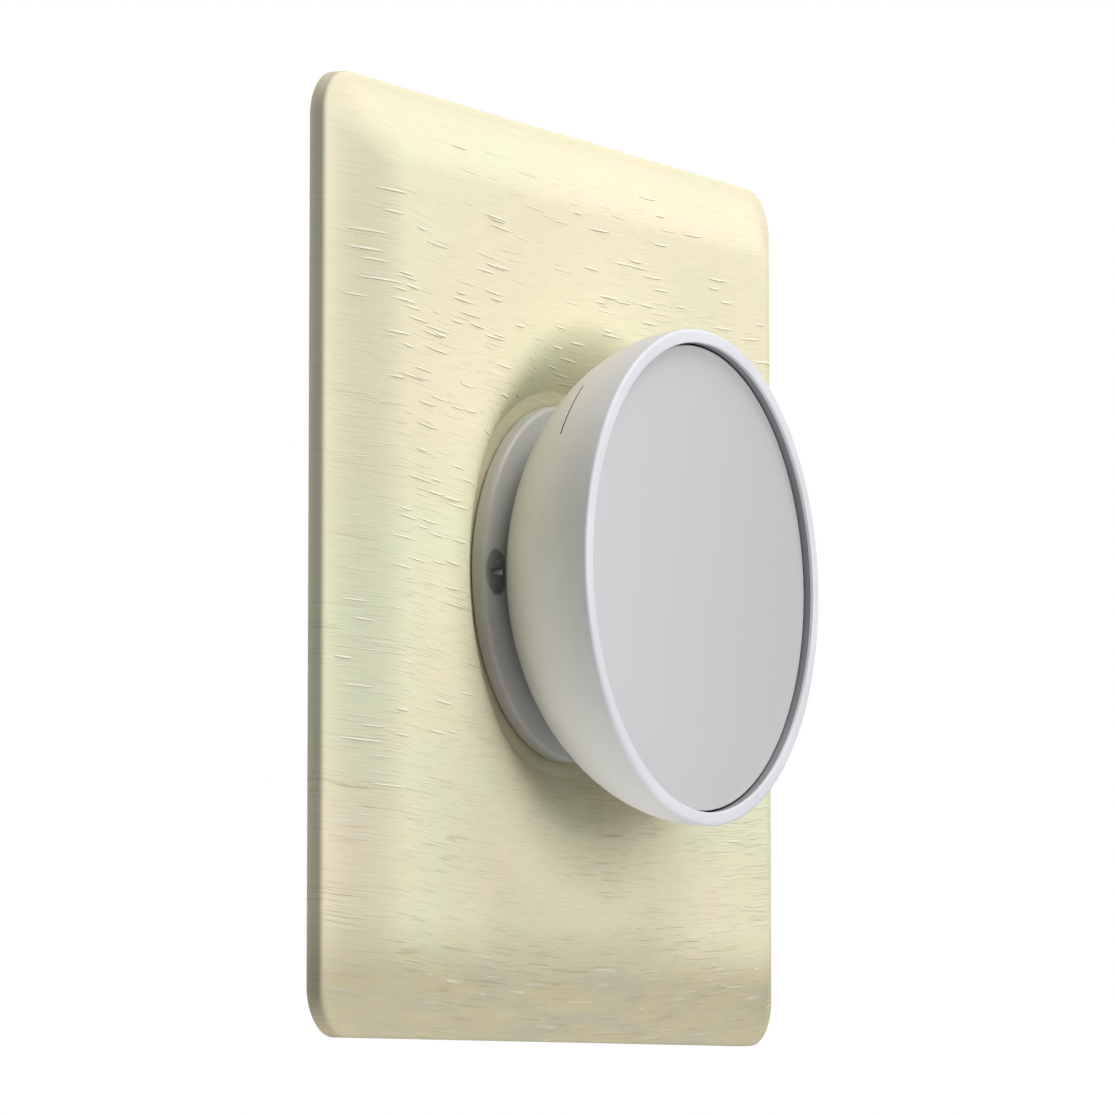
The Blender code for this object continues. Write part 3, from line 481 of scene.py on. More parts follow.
# The bowl's white inside, painted black as the deep shade seen through the gap round the face.
BLACK_INSIDE_SHADE = moulded("black_inside_painted_shade", (0.018, 0.018, 0.019), 0.75)
GREY = moulded("grey_plastic", (0.30, 0.31, 0.32), 0.5)
SLEEVE = moulded("component_sleeve", (0.06, 0.07, 0.09), 0.32, relief=0.00001)
CELL = moulded("cell_sleeve", (0.12, 0.19, 0.33), 0.28, relief=0.00001, coat=0.4)
TAPE = moulded("tape", (0.02, 0.02, 0.02), 0.85, grain=2600, relief=0.00006)
CERAMIC = moulded("ceramic", (0.72, 0.70, 0.65), 0.55)
LAMP = moulded("lamp_lens", (0.80, 0.80, 0.74), 0.25, coat=0.5)
STEEL = metal("steel", (0.72, 0.72, 0.72), 0.42)
NICKEL = metal("nickel", (0.70, 0.68, 0.63), 0.22)
BRASS = metal("brass", (0.76, 0.56, 0.24), 0.26)
BOARD = circuit_board()
CLEAR = clear_plastic("clear_plastic", (0.90, 0.93, 0.94), 0.08)
TINTED = clear_plastic("tinted_lens", (0.10, 0.07, 0.16), 0.06, 0.6)
FACE_GREY = grey_face()
# The mouth's white wall, painted grey as the shade that falls in the groove.
GROOVE_SHADE = moulded("white_plastic_painted_groove_shade", (0.32, 0.32, 0.325), 0.6)


def show(piece, body, slot, *nodes):
    """Rides a finished piece on its body in place of its CAD nodes."""
    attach(piece, body)
    if nodes:
        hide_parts(*nodes)


# ---------------------------------------------------------------- mounting plate
SIDE_STEPS = 40
CORNER_STEPS = 14


def square_loop(inset, forward):
    """One loop of the plate's rounded square, with points along its sides."""
    half = PLATE_HALF - inset
    corner = max(PLATE_CORNER - inset * 0.35, 0.003)
    loop = []
    for quarter in range(4):
        turn = Matrix.Rotation(-math.radians(90 * quarter), 3, 'Y')
        for step in range(SIDE_STEPS):
            loop.append(turn @ at(half, forward, (half - corner) * (2 * step / SIDE_STEPS - 1)))
        for step in range(CORNER_STEPS):
            angle = math.radians(90 * step / CORNER_STEPS)
            loop.append(turn @ at(half - corner + corner * math.cos(angle), forward,
                                  half - corner + corner * math.sin(angle)))
    return loop


GUIDE = square_loop(PLATE_BEVEL, 0)
GUIDE_ANGLES = [math.atan2(p.z, p.x) for p in GUIDE]


def circle_loop(radius, forward):
    """A round loop whose points match the guide's angles."""
    return [ring_point(radius, forward, angle) for angle in GUIDE_ANGLES]


def between_loop(share, forward):
    """A loop between the field's square edge and the dish's round edge."""
    square = square_loop(PLATE_BEVEL, forward)
    circle = circle_loop(DISH_RADIUS, forward)
    return [a.lerp(b, share) for a, b in zip(square, circle)]


def bevel_forward(inset):
    """The S-shaped slope from the plate's edge up to its flat field."""
    share = min(max(inset / PLATE_BEVEL, 0.0), 1.0)
    return PLATE_EDGE + (PLATE_HEIGHT - PLATE_EDGE) * share * share * (3 - 2 * share)


def dish_forward(radius):
    """The dish's wall, soft at the field and meeting the floor at a clear edge."""
    share = min(max((radius - DISH_FLOOR_RADIUS) / (DISH_RADIUS - DISH_FLOOR_RADIUS), 0.0), 1.0)
    return PLATE_WALL + (PLATE_HEIGHT - PLATE_WALL) * math.sin(share * math.pi / 2)


def plate_forward(x, z):
    """The height of the plate's front surface at a place."""
    radius = math.hypot(x, z)
    if radius < DISH_RADIUS:
        return dish_forward(radius)
    return bevel_forward(PLATE_HALF - max(abs(x), abs(z)))


def stadium(length, width, grow, steps=10):
    """The outline of a slot lying along Z, grown by a margin."""
    radius = width / 2 + grow
    reach = (length - width) / 2
    points = []
    for end, start in ((reach, 0), (-reach, 180)):
        for step in range(steps + 1):
            turn = math.radians(start + 180 * step / steps)
            points.append((radius * math.cos(turn), end + radius * math.sin(turn)))
    return points


def openings():
    """Each opening of the dish floor as a function from margin to outline."""
    found = [lambda grow: [polar(CABLE_HOLE_RADIUS + grow, 360 * i / 120) for i in range(120)]]
    for number in range(4):
        turn = math.radians(90 * number)

        def slot(grow, turn=turn):
            points = []
            for x, z in stadium(SLOT_LENGTH, SLOT_WIDTH, grow):
                x += SLOT_CIRCLE_RADIUS
                points.append((x * math.cos(turn) - z * math.sin(turn),
                               x * math.sin(turn) + z * math.cos(turn)))
            return points
        found.append(slot)
    return found


def fill_between(shape, loops, normal):
    """Fills the flat area between an outer loop and the holes inside it."""
    edges = []
    for loop in loops:
        for i in range(len(loop)):
            pair = (loop[i], loop[(i + 1) % len(loop)])
            edges.append(shape.edges.get(pair) or shape.edges.new(pair))
    bmesh.ops.triangle_fill(shape, use_beauty=True, use_dissolve=False, edges=edges, normal=normal)


def mounting_plate():
    """The plate's front, edge and hollow back, with softened slots and cable hole."""
    shape = bmesh.new()
    soft, chamfer, nook = 0.0007, 0.0002, 0.00025
    edge = [(chamfer, 0.0), (0.0, chamfer), (0.0, PLATE_EDGE - soft)]
    edge += [(soft * (1 - math.cos(a)), PLATE_EDGE - soft + soft * math.sin(a))
             for a in (math.pi / 8, math.pi / 4, 3 * math.pi / 8)]
    loops = [square_loop(inset, forward) for inset, forward in edge]
    insets = [soft + (PLATE_BEVEL - soft) * step / 22 for step in range(23)]
    loops += [square_loop(inset, bevel_forward(inset)) for inset in insets]
    loops += [between_loop(step / 8, PLATE_HEIGHT) for step in range(1, 8)]
    radii = [DISH_RADIUS + (DISH_FLOOR_RADIUS - DISH_RADIUS) * step / 22 for step in range(23)]
    loops += [circle_loop(radius, dish_forward(radius)) for radius in radii[:-1]]
    loops += [circle_loop(DISH_FLOOR_RADIUS + nook * a, PLATE_WALL + nook * b)
              for a, b in ((1.0, 1.0), (0.35, 0.35), (0.0, 0.08), (-0.6, 0.0))]
    front_rows = loft(shape, loops)
    back = [circle_loop(DISH_FLOOR_RADIUS - 0.0006, 0.0)]
    back += [circle_loop(radius, dish_forward(radius) - PLATE_WALL) for radius in reversed(radii)]
    back += [between_loop(1 - step / 8, PLATE_HEIGHT - PLATE_WALL) for step in range(1, 8)]
    insets = [PLATE_WALL + (PLATE_BEVEL - PLATE_WALL) * step / 16 for step in range(17)]
    back += [square_loop(inset, bevel_forward(inset) - PLATE_WALL) for inset in reversed(insets)]
    back += [square_loop(inset, forward) for inset, forward in
             ((PLATE_WALL, 0.0003), (PLATE_WALL - chamfer, 0.0), (chamfer, 0.0))]
    back_rows = loft(shape, back)
    front_holes, back_holes = [], []
    profile = ((0.0004, PLATE_WALL), (0.00018, PLATE_WALL - 0.00006),
               (0.00006, PLATE_WALL - 0.00018), (0.0, PLATE_WALL - 0.0004),
               (0.0, chamfer), (chamfer, 0.0))
    for outline in openings():
        walls = [[at(x, forward, z) for x, z in outline(grow)] for grow, forward in profile]
        rows = loft(shape, walls)
        front_holes.append(rows[0])
        back_holes.append(rows[-1])
    fill_between(shape, [front_rows[-1]] + front_holes, (0, -1, 0))
    fill_between(shape, [back_rows[0]] + back_holes, (0, 1, 0))
    bmesh.ops.remove_doubles(shape, verts=shape.verts, dist=MERGE)
    plate = finish_mesh("plate", shape, [IVORY], smooth=50)
    show(plate, "plate", "ivory_plastic", "mounting_plate")


def plate_flakes():
    """Raised slivers all over the plate's front: bold ones high up, hair-thin ones low down,
    painted lighter on top as light and darker below as shade.
    """
    rng = random.Random(20)
    shape = bmesh.new()
    reach = PLATE_HALF - 0.0022
    bold = (BOLD_SLIVERS, -0.045, 0.040,
            ((0.0036, 0.0092), (0.00042, 0.00060), (0.00013, 0.00020)))
    fine = (FINE_SLIVERS, -reach, -0.030,
            ((0.0020, 0.0095), (0.00018, 0.00030), (0.00004, 0.00009)))
    for wanted, lowest, usual, ranges in (bold, fine):
        made = 0
        while made < wanted:
            x, z = rng.uniform(-reach, reach), rng.triangular(lowest, reach, usual)
            length, width, height = (rng.uniform(*limits) for limits in ranges)
            made += sliver(shape, rng, x, z, length, width, height)
    flakes = finish_mesh("plate_flakes", shape, [FLAKE_LIT_TOP, FLAKE_SHADE], smooth=20)
    show(flakes, "plate", "ivory_plastic")


def clear_of_openings(x, z, margin=0.0009):
    """Whether a point of the front lies away from the slots, the hole and the floor's edge."""
    radius = math.hypot(x, z)
    if radius < CABLE_HOLE_RADIUS + margin or abs(radius - DISH_FLOOR_RADIUS) < margin:
        return False
    for number in range(4):
        cx, cz = polar(SLOT_CIRCLE_RADIUS, 90 * number)
        wide, tall = (SLOT_WIDTH, SLOT_LENGTH) if number % 2 == 0 else (SLOT_LENGTH, SLOT_WIDTH)
        if abs(x - cx) < wide / 2 + margin and abs(z - cz) < tall / 2 + margin:
            return False
    return True


def sliver(shape, rng, x, z, length, width, height):
    """Adds one closed ridge, pointed at both ends and steep below; returns whether it had room."""
    tilt = 2 * BRUSH_SAG * x + rng.gauss(0.0, 0.018)
    bend = rng.gauss(0.0, 0.00006)
    if min(abs(x), abs(z)) > PLATE_HALF - 0.017:
        return False
    stations = []
    for step in range(9):
        share = step / 8 - 0.5
        px = x + length * share
        pz = z + length * share * tilt + bend * (1 - 4 * share * share)
        if not clear_of_openings(px, pz) or max(abs(px), abs(pz)) > PLATE_HALF - 0.002:
            return False
        stations.append((px, pz, (1 - 4 * share * share) ** 0.7))
    rows = []
    for px, pz, size in stations[1:-1]:
        half = width * 0.5 * size
        crest = pz - half * 0.45
        section = (at(px, plate_forward(px, pz + half) - 0.00004, pz + half),
                   at(px, plate_forward(px, crest) + height * size, crest),
                   at(px, plate_forward(px, pz - half) - 0.00004, pz - half))
        rows.append([shape.verts.new(p) for p in section])
    tips = []
    for px, pz, _ in (stations[0], stations[-1]):
        tips.append(shape.verts.new(at(px, plate_forward(px, pz) - 0.00002, pz)))
    for row, following in zip(rows, rows[1:]):
        for i in range(3):
            j = (i + 1) % 3
            face = shape.faces.new((row[i], row[j], following[j], following[i]))
            # the steep lower face gets the painted shade, the other faces the painted light
            face.material_index = 1 if i == 1 else 0
    for tip, row in zip(tips, (rows[0], rows[-1])):
        for i in range(3):
            face = shape.faces.new((tip, row[i], row[(i + 1) % 3]))
            # the tips are painted the same way: shade on the lower face, light on the others
            face.material_index = 1 if i == 1 else 0
    return True


mounting_plate()
plate_flakes()


# ---------------------------------------------------------------- shell
def shell():
    """The white bowl: flat rim, quarter-ellipse profile, slit, a mouth wall painted grey as shade
    and an inside painted black as deep shade.
    """
    back = RIM_FORWARD + shell_high.y
    small, large = RIM_INNER_FILLET, RIM_FILLET
    outline = [(MOUTH_RADIUS + small * (1 - math.cos(turn)), inside(small * (1 - math.sin(turn))))
               for turn in quarter_turn(5)]
    start = math.asin(large / BOWL_DEPTH)
    edge = HEAD_RADIUS * math.cos(start) - large
    outline += [(edge + large * math.sin(turn), inside(large * (1 - math.cos(turn))))
                for turn in quarter_turn(8)[:-1]]
    end = math.asin(back / BOWL_DEPTH)
    steps = 40
    for step in range(steps + 1):
        turn = start + (end - start) * step / steps
        outline.append((HEAD_RADIUS * math.cos(turn), inside(BOWL_DEPTH * math.sin(turn))))
    opening = cover_high.x + 0.0003
    tip_radius = outline[-1][0]
    outline[-1] = (tip_radius + 0.0001, inside(back - 0.0003))
    outline += [(tip_radius - 0.0003, inside(back)), (opening + 0.0003, inside(back)),
                (opening, inside(back - 0.0003))]
    cavity_radius, cavity_depth = HEAD_RADIUS - BOWL_WALL, BOWL_DEPTH - BOWL_WALL
    first = math.acos(opening / cavity_radius)
    last = math.asin(MOUTH_DEPTH / cavity_depth)
    for step in range(25):
        turn = first + (last - first) * step / 24
        outline.append((cavity_radius * math.cos(turn), inside(cavity_depth * math.sin(turn))))
    outline += [(MOUTH_RADIUS, inside(depth))
                for depth in (MOUTH_DEPTH, WHITE_WALL_DEPTH, GROOVE_DEPTH)]
    bowl = finish_mesh("bowl", turned(outline, ROUND), [WHITE_SATIN, BLACK_INSIDE_SHADE, GROOVE_SHADE])
    low, high = SLIT_ANGLES
    half = SLIT_WIDTH / 2
    slit = oblong((0.036, 0.044), (inside(SLIT_DEPTH + half), inside(SLIT_DEPTH - half)))
    carve(bowl, [turned(slit, 24, low, high - low)])
    shallow, deep = CATCH_DEPTHS
    catch = oblong(CATCH_RADII, (inside(deep), inside(shallow)))
    catches = [turned(catch, 8, angle - CATCH_HALF_ANGLE, 2 * CATCH_HALF_ANGLE)
               for angle in CATCH_ANGLES]
    carve(bowl, catches, 'UNION')
    for face in bowl.data.polygons:
        centre = face.center
        radius = math.hypot(centre.x, centre.z)
        depth = RIM_FORWARD + centre.y
        within = radius < HEAD_RADIUS * math.sqrt(max(1 - (depth / BOWL_DEPTH) ** 2, 0)) - 0.0006
        # the white inside below the mouth wall is painted black as deep shade
        face.material_index = 1 if within and WHITE_WALL_DEPTH < depth < BLACK_DEPTH else 0
        # the white mouth wall between these depths is painted grey as shade
        if within and radius < MOUTH_RADIUS + 0.0001 and GROOVE_DEPTH < depth < WHITE_WALL_DEPTH:
            face.material_index = 2
    show(bowl, "head", "white_plastic", "shell")


# ---------------------------------------------------------------- face
def face_disc():
    """The grey disc with a softened edge."""
    soft = 0.00022
    outline = [(0, FACE_BACK), (FACE_RADIUS - 0.0001, FACE_BACK), (FACE_RADIUS, FACE_BACK + 0.0001)]
    outline += [(FACE_RADIUS - soft + soft * math.cos(a), FACE_FRONT - soft + soft * math.sin(a))
                for a in quarter_turn(6)]
    outline += [(FACE_RADIUS * share, FACE_FRONT) for share in (0.97, 0.75, 0.5, 0.25)]
    outline.append((0, FACE_FRONT))
    disc = finish_mesh("face", spun(outline, ROUND), [FACE_GREY])
    show(disc, "face", "grey_face", "face_disc")


# ---------------------------------------------------------------- base, wall screws and rear cover
BASE_RADIUS = base_high.x
BASE_BACK = -base_high.y
BASE_FRONT = BASE_BACK + 0.0025
BASE_HOLE_RADIUS = 0.014
HOOK_ANGLES = (90, 210, 330)
HOOK_HALF_ANGLE = 6.0
HOOK_NECK = (0.0208, 0.0224)
HOOK_HEAD = (0.0200, 0.0232)
SCREW_RADIUS = 0.0020
SCREW_HEAD_RADIUS = 0.0037
SCREW_HEAD_DEPTH = 0.0020
COVER_BACK = -cover_high.y
COVER_FRONT = -cover_low.y
COVER_SCREWS = ((-0.009, 0.0156), (-0.0203, 0.0015), (0.0203, 0.0015))
COVER_WINDOW_HALF_WIDTH = 0.0142


def softened(outline, corners, steps=5):
    """Rounds the named corners of a closed (radius, forward) outline to their radii."""
    points = []
    count = len(outline)
    for i, corner in enumerate(outline):
        radius = corners.get(i)
        if not radius:
            points.append(corner)
            continue
        here = Vector(corner)
        before = (Vector(outline[i - 1]) - here).normalized()
        after = (Vector(outline[(i + 1) % count]) - here).normalized()
        start, end = here + before * radius, here + after * radius
        for step in range(steps + 1):
            share = step / steps
            point = start.lerp(here, share).lerp(here.lerp(end, share), share)
            points.append((point.x, point.y))
    return points


def mounting_base():
    """The ring that is screwed to the plate, with its countersinks and bayonet hooks."""
    section = oblong((BASE_HOLE_RADIUS, BASE_RADIUS), (BASE_BACK, BASE_FRONT))
    outline = softened(section, {0: 0.0003, 1: 0.0003, 2: 0.0008, 3: 0.0005})
    base = finish_mesh("base", turned(outline, 192), [NATURAL])
    bore, mouth = SCREW_RADIUS + CLEARANCE, SCREW_HEAD_RADIUS + CLEARANCE
    holes = []
    for number in range(4):
        x, z = polar(SLOT_CIRCLE_RADIUS, 90 * number)
        cone = spun(((0, 0), (bore, 0), (bore, BASE_FRONT - SCREW_HEAD_DEPTH), (mouth, BASE_FRONT),
                     (mouth, BASE_FRONT + 0.002), (0, BASE_FRONT + 0.002)), 48)
        # turned a little, so that no corner of the hole meets a line of the ring
        bmesh.ops.rotate(cone, verts=cone.verts, matrix=Matrix.Rotation(math.radians(2.1), 3, 'Y'))
        bmesh.ops.translate(cone, verts=cone.verts, vec=(x, 0, z))
        holes.append(cone)
    carve(base, holes)
    neck_in, neck_out = HOOK_NECK
    head_in, head_out = HOOK_HEAD
    root, under = BASE_FRONT - 0.001, COVER_FRONT + CLEARANCE
    tip = under + 0.001
    hook = [(neck_in, root), (neck_out, root), (neck_out, under), (head_out, under),
            (head_out, tip), (head_in, tip), (head_in, under), (neck_in, under)]
    outline = softened(hook, {4: 0.0003, 5: 0.0003}, 3)
    hooks = [turned(outline, 12, middle - HOOK_HALF_ANGLE, 2 * HOOK_HALF_ANGLE)
             for middle in HOOK_ANGLES]
    carve(base, hooks, 'UNION')
    show(base, "base", "natural_plastic", "mounting_base")


def cross_recess(size, low, high):
    """The two crossed slots of a screw's drive, narrower at the bottom."""
    shape = bmesh.new()
    rings = []
    for share, forward in ((0.55, low), (1.0, high)):
        a, b = size * share, size * 0.24 * share
        outline = ((a, -b), (a, b), (b, b), (b, a), (-b, a), (-b, b),
                   (-a, b), (-a, -b), (-b, -b), (-b, -a), (b, -a), (b, -b))
        rings.append([shape.verts.new(at(x, forward, z)) for x, z in outline])
    shape.faces.new(rings[0])
    shape.faces.new(rings[1])
    bridge(shape, *rings)
    return shape


def thread(shape, core, crest, pitch, low, high, segments, per_turn=10):
    """The rows of a helical thread that fades in from its tip and out below the head."""
    rows = []
    count = int((high - low) / pitch * per_turn)
    for step in range(count + 1):
        forward = low + (high - low) * step / count
        fade = min(step / per_turn, 1.0, (count - step) / 4)
        row = []
        for i in range(segments):
            phase = (forward / pitch - i / segments) % 1.0
            ridge = max(1 - abs(phase - 0.5) * 3.2, 0.0)
            radius = core * (0.6 + 0.4 * min(step / 8, 1.0)) + (crest - core) * ridge * fade
            row.append(shape.verts.new(ring_point(radius, forward, 2 * math.pi * i / segments)))
        rows.append(row)
    return rows


def wall_screws():
    """Two countersunk screws through the base's side holes and the plate's side slots."""
    segments, pitch = 40, 0.0014
    top = BASE_FRONT - 0.00005
    neck = top - SCREW_HEAD_DEPTH
    core, crest, head = SCREW_RADIUS - 0.0006, SCREW_RADIUS - 0.0001, SCREW_HEAD_RADIUS
    outline = ((core, neck - 0.0001), (core + 0.0001, neck), (head - 0.0001, top - 0.00022),
               (head, top - 0.00014), (head - 0.00008, top - 0.00003), (head - 0.0002, top),
               (0.0024, top))
    for side, x in (("left", -SLOT_CIRCLE_RADIUS), ("right", SLOT_CIRCLE_RADIUS)):
        shape = bmesh.new()
        rows = thread(shape, core, crest, pitch, CLEARANCE, neck - 0.0002, segments)
        rows += [ring(shape, r, f, segments) for r, f in outline]
        tip = shape.verts.new(at(0, top, 0))
        for row, following in zip(rows, rows[1:]):
            bridge(shape, row, following)
        shape.faces.new(rows[0])
        for i in range(segments):
            shape.faces.new((tip, rows[-1][i], rows[-1][(i + 1) % segments]))
        recess = cross_recess(0.0020, top - 0.0014, top + 0.0004)
        for part in (shape, recess):
            bmesh.ops.translate(part, verts=part.verts, vec=(x, 0, 0))
        made = finish_mesh(f"wall_screw_{side}_turned", shape, [STEEL])
        carve(made, [recess])
        show(made, "base", "steel", f"wall_screw_{side}")


def rear_cover():
    """The disc that closes the bowl's back, with the battery opening and the bayonet's slots."""
    section = oblong((0, cover_high.x), (COVER_BACK, COVER_FRONT))
    outline = softened(section, {1: 0.0005, 2: 0.0002}, 4)
    cover = finish_mesh("cover", spun(outline, 160), [WHITE_MATTE])
    low, high = COVER_BACK - 0.001, COVER_FRONT + 0.001
    half_width, corner = COVER_WINDOW_HALF_WIDTH, 0.001
    half_height = (cell_high.z - cell_low.z) / 2 + CLEARANCE
    cell_z = (cell_low.z + cell_high.z) / 2
    window = []
    for quarter, (sx, sz) in enumerate(((1, 1), (-1, 1), (-1, -1), (1, -1))):
        for step in range(7):
            turn = math.radians(90 * quarter + 90 * step / 6)
            window.append((sx * (half_width - corner) + corner * math.cos(turn),
                           cell_z + sz * (half_height - corner) + corner * math.sin(turn)))
    cuts = [prism(window, low, high)]
    for middle in HOOK_ANGLES:
        start = middle - HOOK_HALF_ANGLE - 1.2 - TWIST_TRAVEL
        end = middle + HOOK_HALF_ANGLE + 1.2
        for (inner, outer), last in ((HOOK_NECK, end), (HOOK_HEAD, end - TWIST_TRAVEL)):
            section = oblong((inner - CLEARANCE, outer + 0.0002), (low, high))
            cuts.append(turned(section, 24, start, last - start))
    bore, sink, floor = 0.0014, 0.0021, COVER_BACK + 0.0008
    for x, z in COVER_SCREWS:
        hole = spun(((0, low), (sink, low), (sink, floor), (bore, floor), (bore, high),
                     (0, high)), 32)
        bmesh.ops.translate(hole, verts=hole.verts, vec=(x, 0, z))
        cuts.append(hole)
    carve(cover, cuts)
    show(cover, "head", "white_matte_plastic", "rear_cover")


# ---------------------------------------------------------------- springs and battery
def wire(points, radius, sides=10):
    """A round wire along the points, with closed ends."""
    shape = bmesh.new()
    rings = []
    across = Vector((0.3, 0.9, 0.1))
    for i, point in enumerate(points):
        along = (points[min(i + 1, len(points) - 1)] - points[max(i - 1, 0)]).normalized()
        across = (across - along * across.dot(along)).normalized()
        other = along.cross(across)
        row = []
        for side in range(sides):
            turn = 2 * math.pi * side / sides
            away = math.cos(turn) * across + math.sin(turn) * other
            row.append(shape.verts.new(point + away * radius))
        rings.append(row)
    for row, following in zip(rings, rings[1:]):
        bridge(shape, row, following)
    shape.faces.new(rings[0])
    shape.faces.new(rings[-1])
    return shape


def coil(centre, axis, side, turns, radius_low, radius_high, length, closed_turns=0.0):
    """Points round an axis from its low end; the end turns may lie flat against each other."""
    other = axis.cross(side)
    pitchless = 2.4 * SPRING_WIRE / length
    flat = closed_turns / turns
    points = []
    count = int(turns * 36)
    for step in range(count + 1):
        share = turn = step / count
        if flat and turn < flat:
            share = turn / flat * pitchless
        elif flat and turn > 1 - flat:
            share = 1 - (1 - turn) / flat * pitchless
        elif flat:
            share = pitchless + (turn - flat) * ((1 - 2 * pitchless) / (1 - 2 * flat))
        angle = 2 * math.pi * turns * turn
        radius = radius_low + (radius_high - radius_low) * turn
        away = math.cos(angle) * side + math.sin(angle) * other
        points.append(centre + axis * length * share + away * radius)
    return points


def return_springs():
    """Three coils with closed ends, which in the real detector shorten as the face is pressed; here
    they keep one shape.
    """
    for number in (1, 2, 3):
        low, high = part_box(f"return_spring_{number}")
        length = high.y - low.y - 2 * SPRING_WIRE
        foot = Vector(((low.x + high.x) / 2, high.y - SPRING_WIRE, (low.z + high.z) / 2))
        path = coil(foot, Vector((0, -1, 0)), Vector((1, 0, 0)), 7,
                    SPRING_RADIUS, SPRING_RADIUS, length, 1.0)
        body = wire(path, SPRING_WIRE * 0.9)
        made = finish_mesh(f"return_spring_{number}_coil", body, [STEEL], smooth=60)
        show(made, "head", "steel", f"return_spring_{number}")
        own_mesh(made)


def battery_contact_coil():
    """The conical coil that presses on the cell's flat end."""
    low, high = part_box("battery_spring_contact")
    middle = (cell_low + cell_high) / 2
    foot = Vector((low.x + SPRING_WIRE, middle.y, middle.z))
    path = coil(foot, Vector((1, 0, 0)), Vector((0, 1, 0)), 3.5, 0.0042, 0.0026,
                high.x - low.x - 2 * SPRING_WIRE)
    made = finish_mesh("battery_contact_coil", wire(path, SPRING_WIRE * 0.95), [NICKEL], smooth=60)
    show(made, "head", "nickel", "battery_spring_contact")


def battery_cell():
    """The lithium cell: a sleeve rolled over both ends, a bare flat end and a raised button."""
    middle = (cell_low + cell_high) / 2
    radius = (cell_high.z - cell_low.z) / 2
    end = (cell_high.x - cell_low.x) / 2
    roll = 0.0006
    shoulder = end - roll
    outline = [(0, -end), (radius * 0.70, -end), (radius * 0.74, -end + 0.0001),
               (radius * 0.76, -end)]
    outline += [(radius - roll + roll * math.sin(a), -end + roll * (1 - math.cos(a)))
                for a in quarter_turn(6)]
    outline += [(radius, -end + 0.0018), (radius - 0.00012, -end + 0.0021),
                (radius, -end + 0.0024), (radius, shoulder - 0.0024),
                (radius - 0.00025, shoulder - 0.0019), (radius, shoulder - 0.0014)]
    outline += [(radius - roll + roll * math.cos(a), shoulder - roll * (1 - math.sin(a)))
                for a in quarter_turn(6)]
    outline += [(radius * 0.80, shoulder), (radius * 0.77, shoulder - 0.00015),
                (0.0034, shoulder - 0.00015), (0.0031, shoulder), (0.0031, end - 0.00025),
                (0.0029, end - 0.00007), (0.0027, end), (0, end)]
    shape = spun(outline, 96)
    bmesh.ops.transform(shape, matrix=Matrix.Rotation(math.radians(90), 4, 'Z'), verts=shape.verts)
    bmesh.ops.translate(shape, verts=shape.verts, vec=middle)
    made = finish_mesh("battery", shape, [CELL, NICKEL])
    for face in made.data.polygons:
        away = math.hypot(face.center.y - middle.y, face.center.z - middle.z)
        face.material_index = 1 if away < radius * 0.755 else 0
    show(made, "head", "cell_sleeve", "battery_cell")


mounting_base()
wall_screws()
rear_cover()
shell()
face_disc()
return_springs()
battery_contact_coil()
battery_cell()

# ---------------------------------------------------------------- pieces kept from the CAD
KEPT = {
    "face_adhesive": TAPE, "face_carrier": BLACK, "chassis": GREY,
    "cover_screw_1": STEEL, "cover_screw_2": STEEL, "cover_screw_3": STEEL,
    "battery_cradle": BLACK, "battery_leaf_contact": NICKEL,
    "main_board": BOARD, "microcontroller": BLACK, "capacitor": SLEEVE, "inductor": SLEEVE,
    "status_led": LAMP, "light_pipe": CLEAR, "switch_body": GREY, "switch_plunger": BLACK,
    "chamber_base": BLACK, "labyrinth_cap": BLACK, "insect_screen": STEEL,
    "ir_emitter": TINTED, "photodiode": TINTED,
    "sounder_housing": BLACK, "piezo_disc": BRASS, "piezo_ceramic": CERAMIC,
    "sounder_contact_1": STEEL, "sounder_contact_2": STEEL,
}
SOFT_EDGES = {
    "chassis": 0.00015, "battery_cradle": 0.00015, "face_carrier": 0.00015,
    "sounder_housing": 0.0003, "labyrinth_cap": 0.0003, "chamber_base": 0.00015,
    "switch_body": 0.0002, "switch_plunger": 0.0002, "microcontroller": 0.00015,
    "capacitor": 0.0003, "inductor": 0.0003, "light_pipe": 0.00015, "status_led": 0.00015,
    "battery_leaf_contact": 0.00008, "main_board": 0.0001,
}
for node, paint in KEPT.items():
    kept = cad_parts[node]
    kept.data.materials.clear()
    kept.data.materials.append(paint)
    kept.data.shade_smooth()
    kept.modifiers.new("weld", 'WELD').merge_threshold = 10 * MERGE
    if node in SOFT_EDGES:
        soften = kept.modifiers.new("soft_edges", 'BEVEL')
        soften.width = SOFT_EDGES[node]
        soften.segments = 2
        soften.limit_method = 'ANGLE'
        soften.angle_limit = math.radians(SHARP_ANGLE)
        kept.modifiers.new("even_shading", 'WEIGHTED_NORMAL').weight = 100
    else:
        sharp = kept.modifiers.new("sharp_edges", 'EDGE_SPLIT')
        sharp.split_angle = math.radians(SHARP_ANGLE)

# ---------------------------------------------------------------- camera, lights, floor
AZIMUTH = math.radians(-60.7)
ELEVATION = math.radians(-5.4)
DISTANCE = 1.0
VIEW_WIDTH = 0.1895
SENSOR = 36.0  # millimetres
AIM = Vector((-0.0062, -0.0055, 0.004))
AMBIENT_COLOUR = (0.87, 0.93, 1.06, 1.0)
AMBIENT_STRENGTH = 0.22
WHITE = (1.0, 1.0, 1.0, 1.0)
FLOOR_DROP = 1.2
FLOOR_REACH = 9.0
FLOOR_GLOW = 0.76
LIGHTS = (("top_light", (0.08, -0.28, 0.55), 0.35, 2.2),
          ("front_light", (-0.02, -1.20, 0.25), 0.8, 8.6),
          ("low_light", (-0.06, -0.06, -0.45), 0.3, 0.7),
          ("back_light", (-0.10, 1.20, 0.45), 0.8, 7.0))

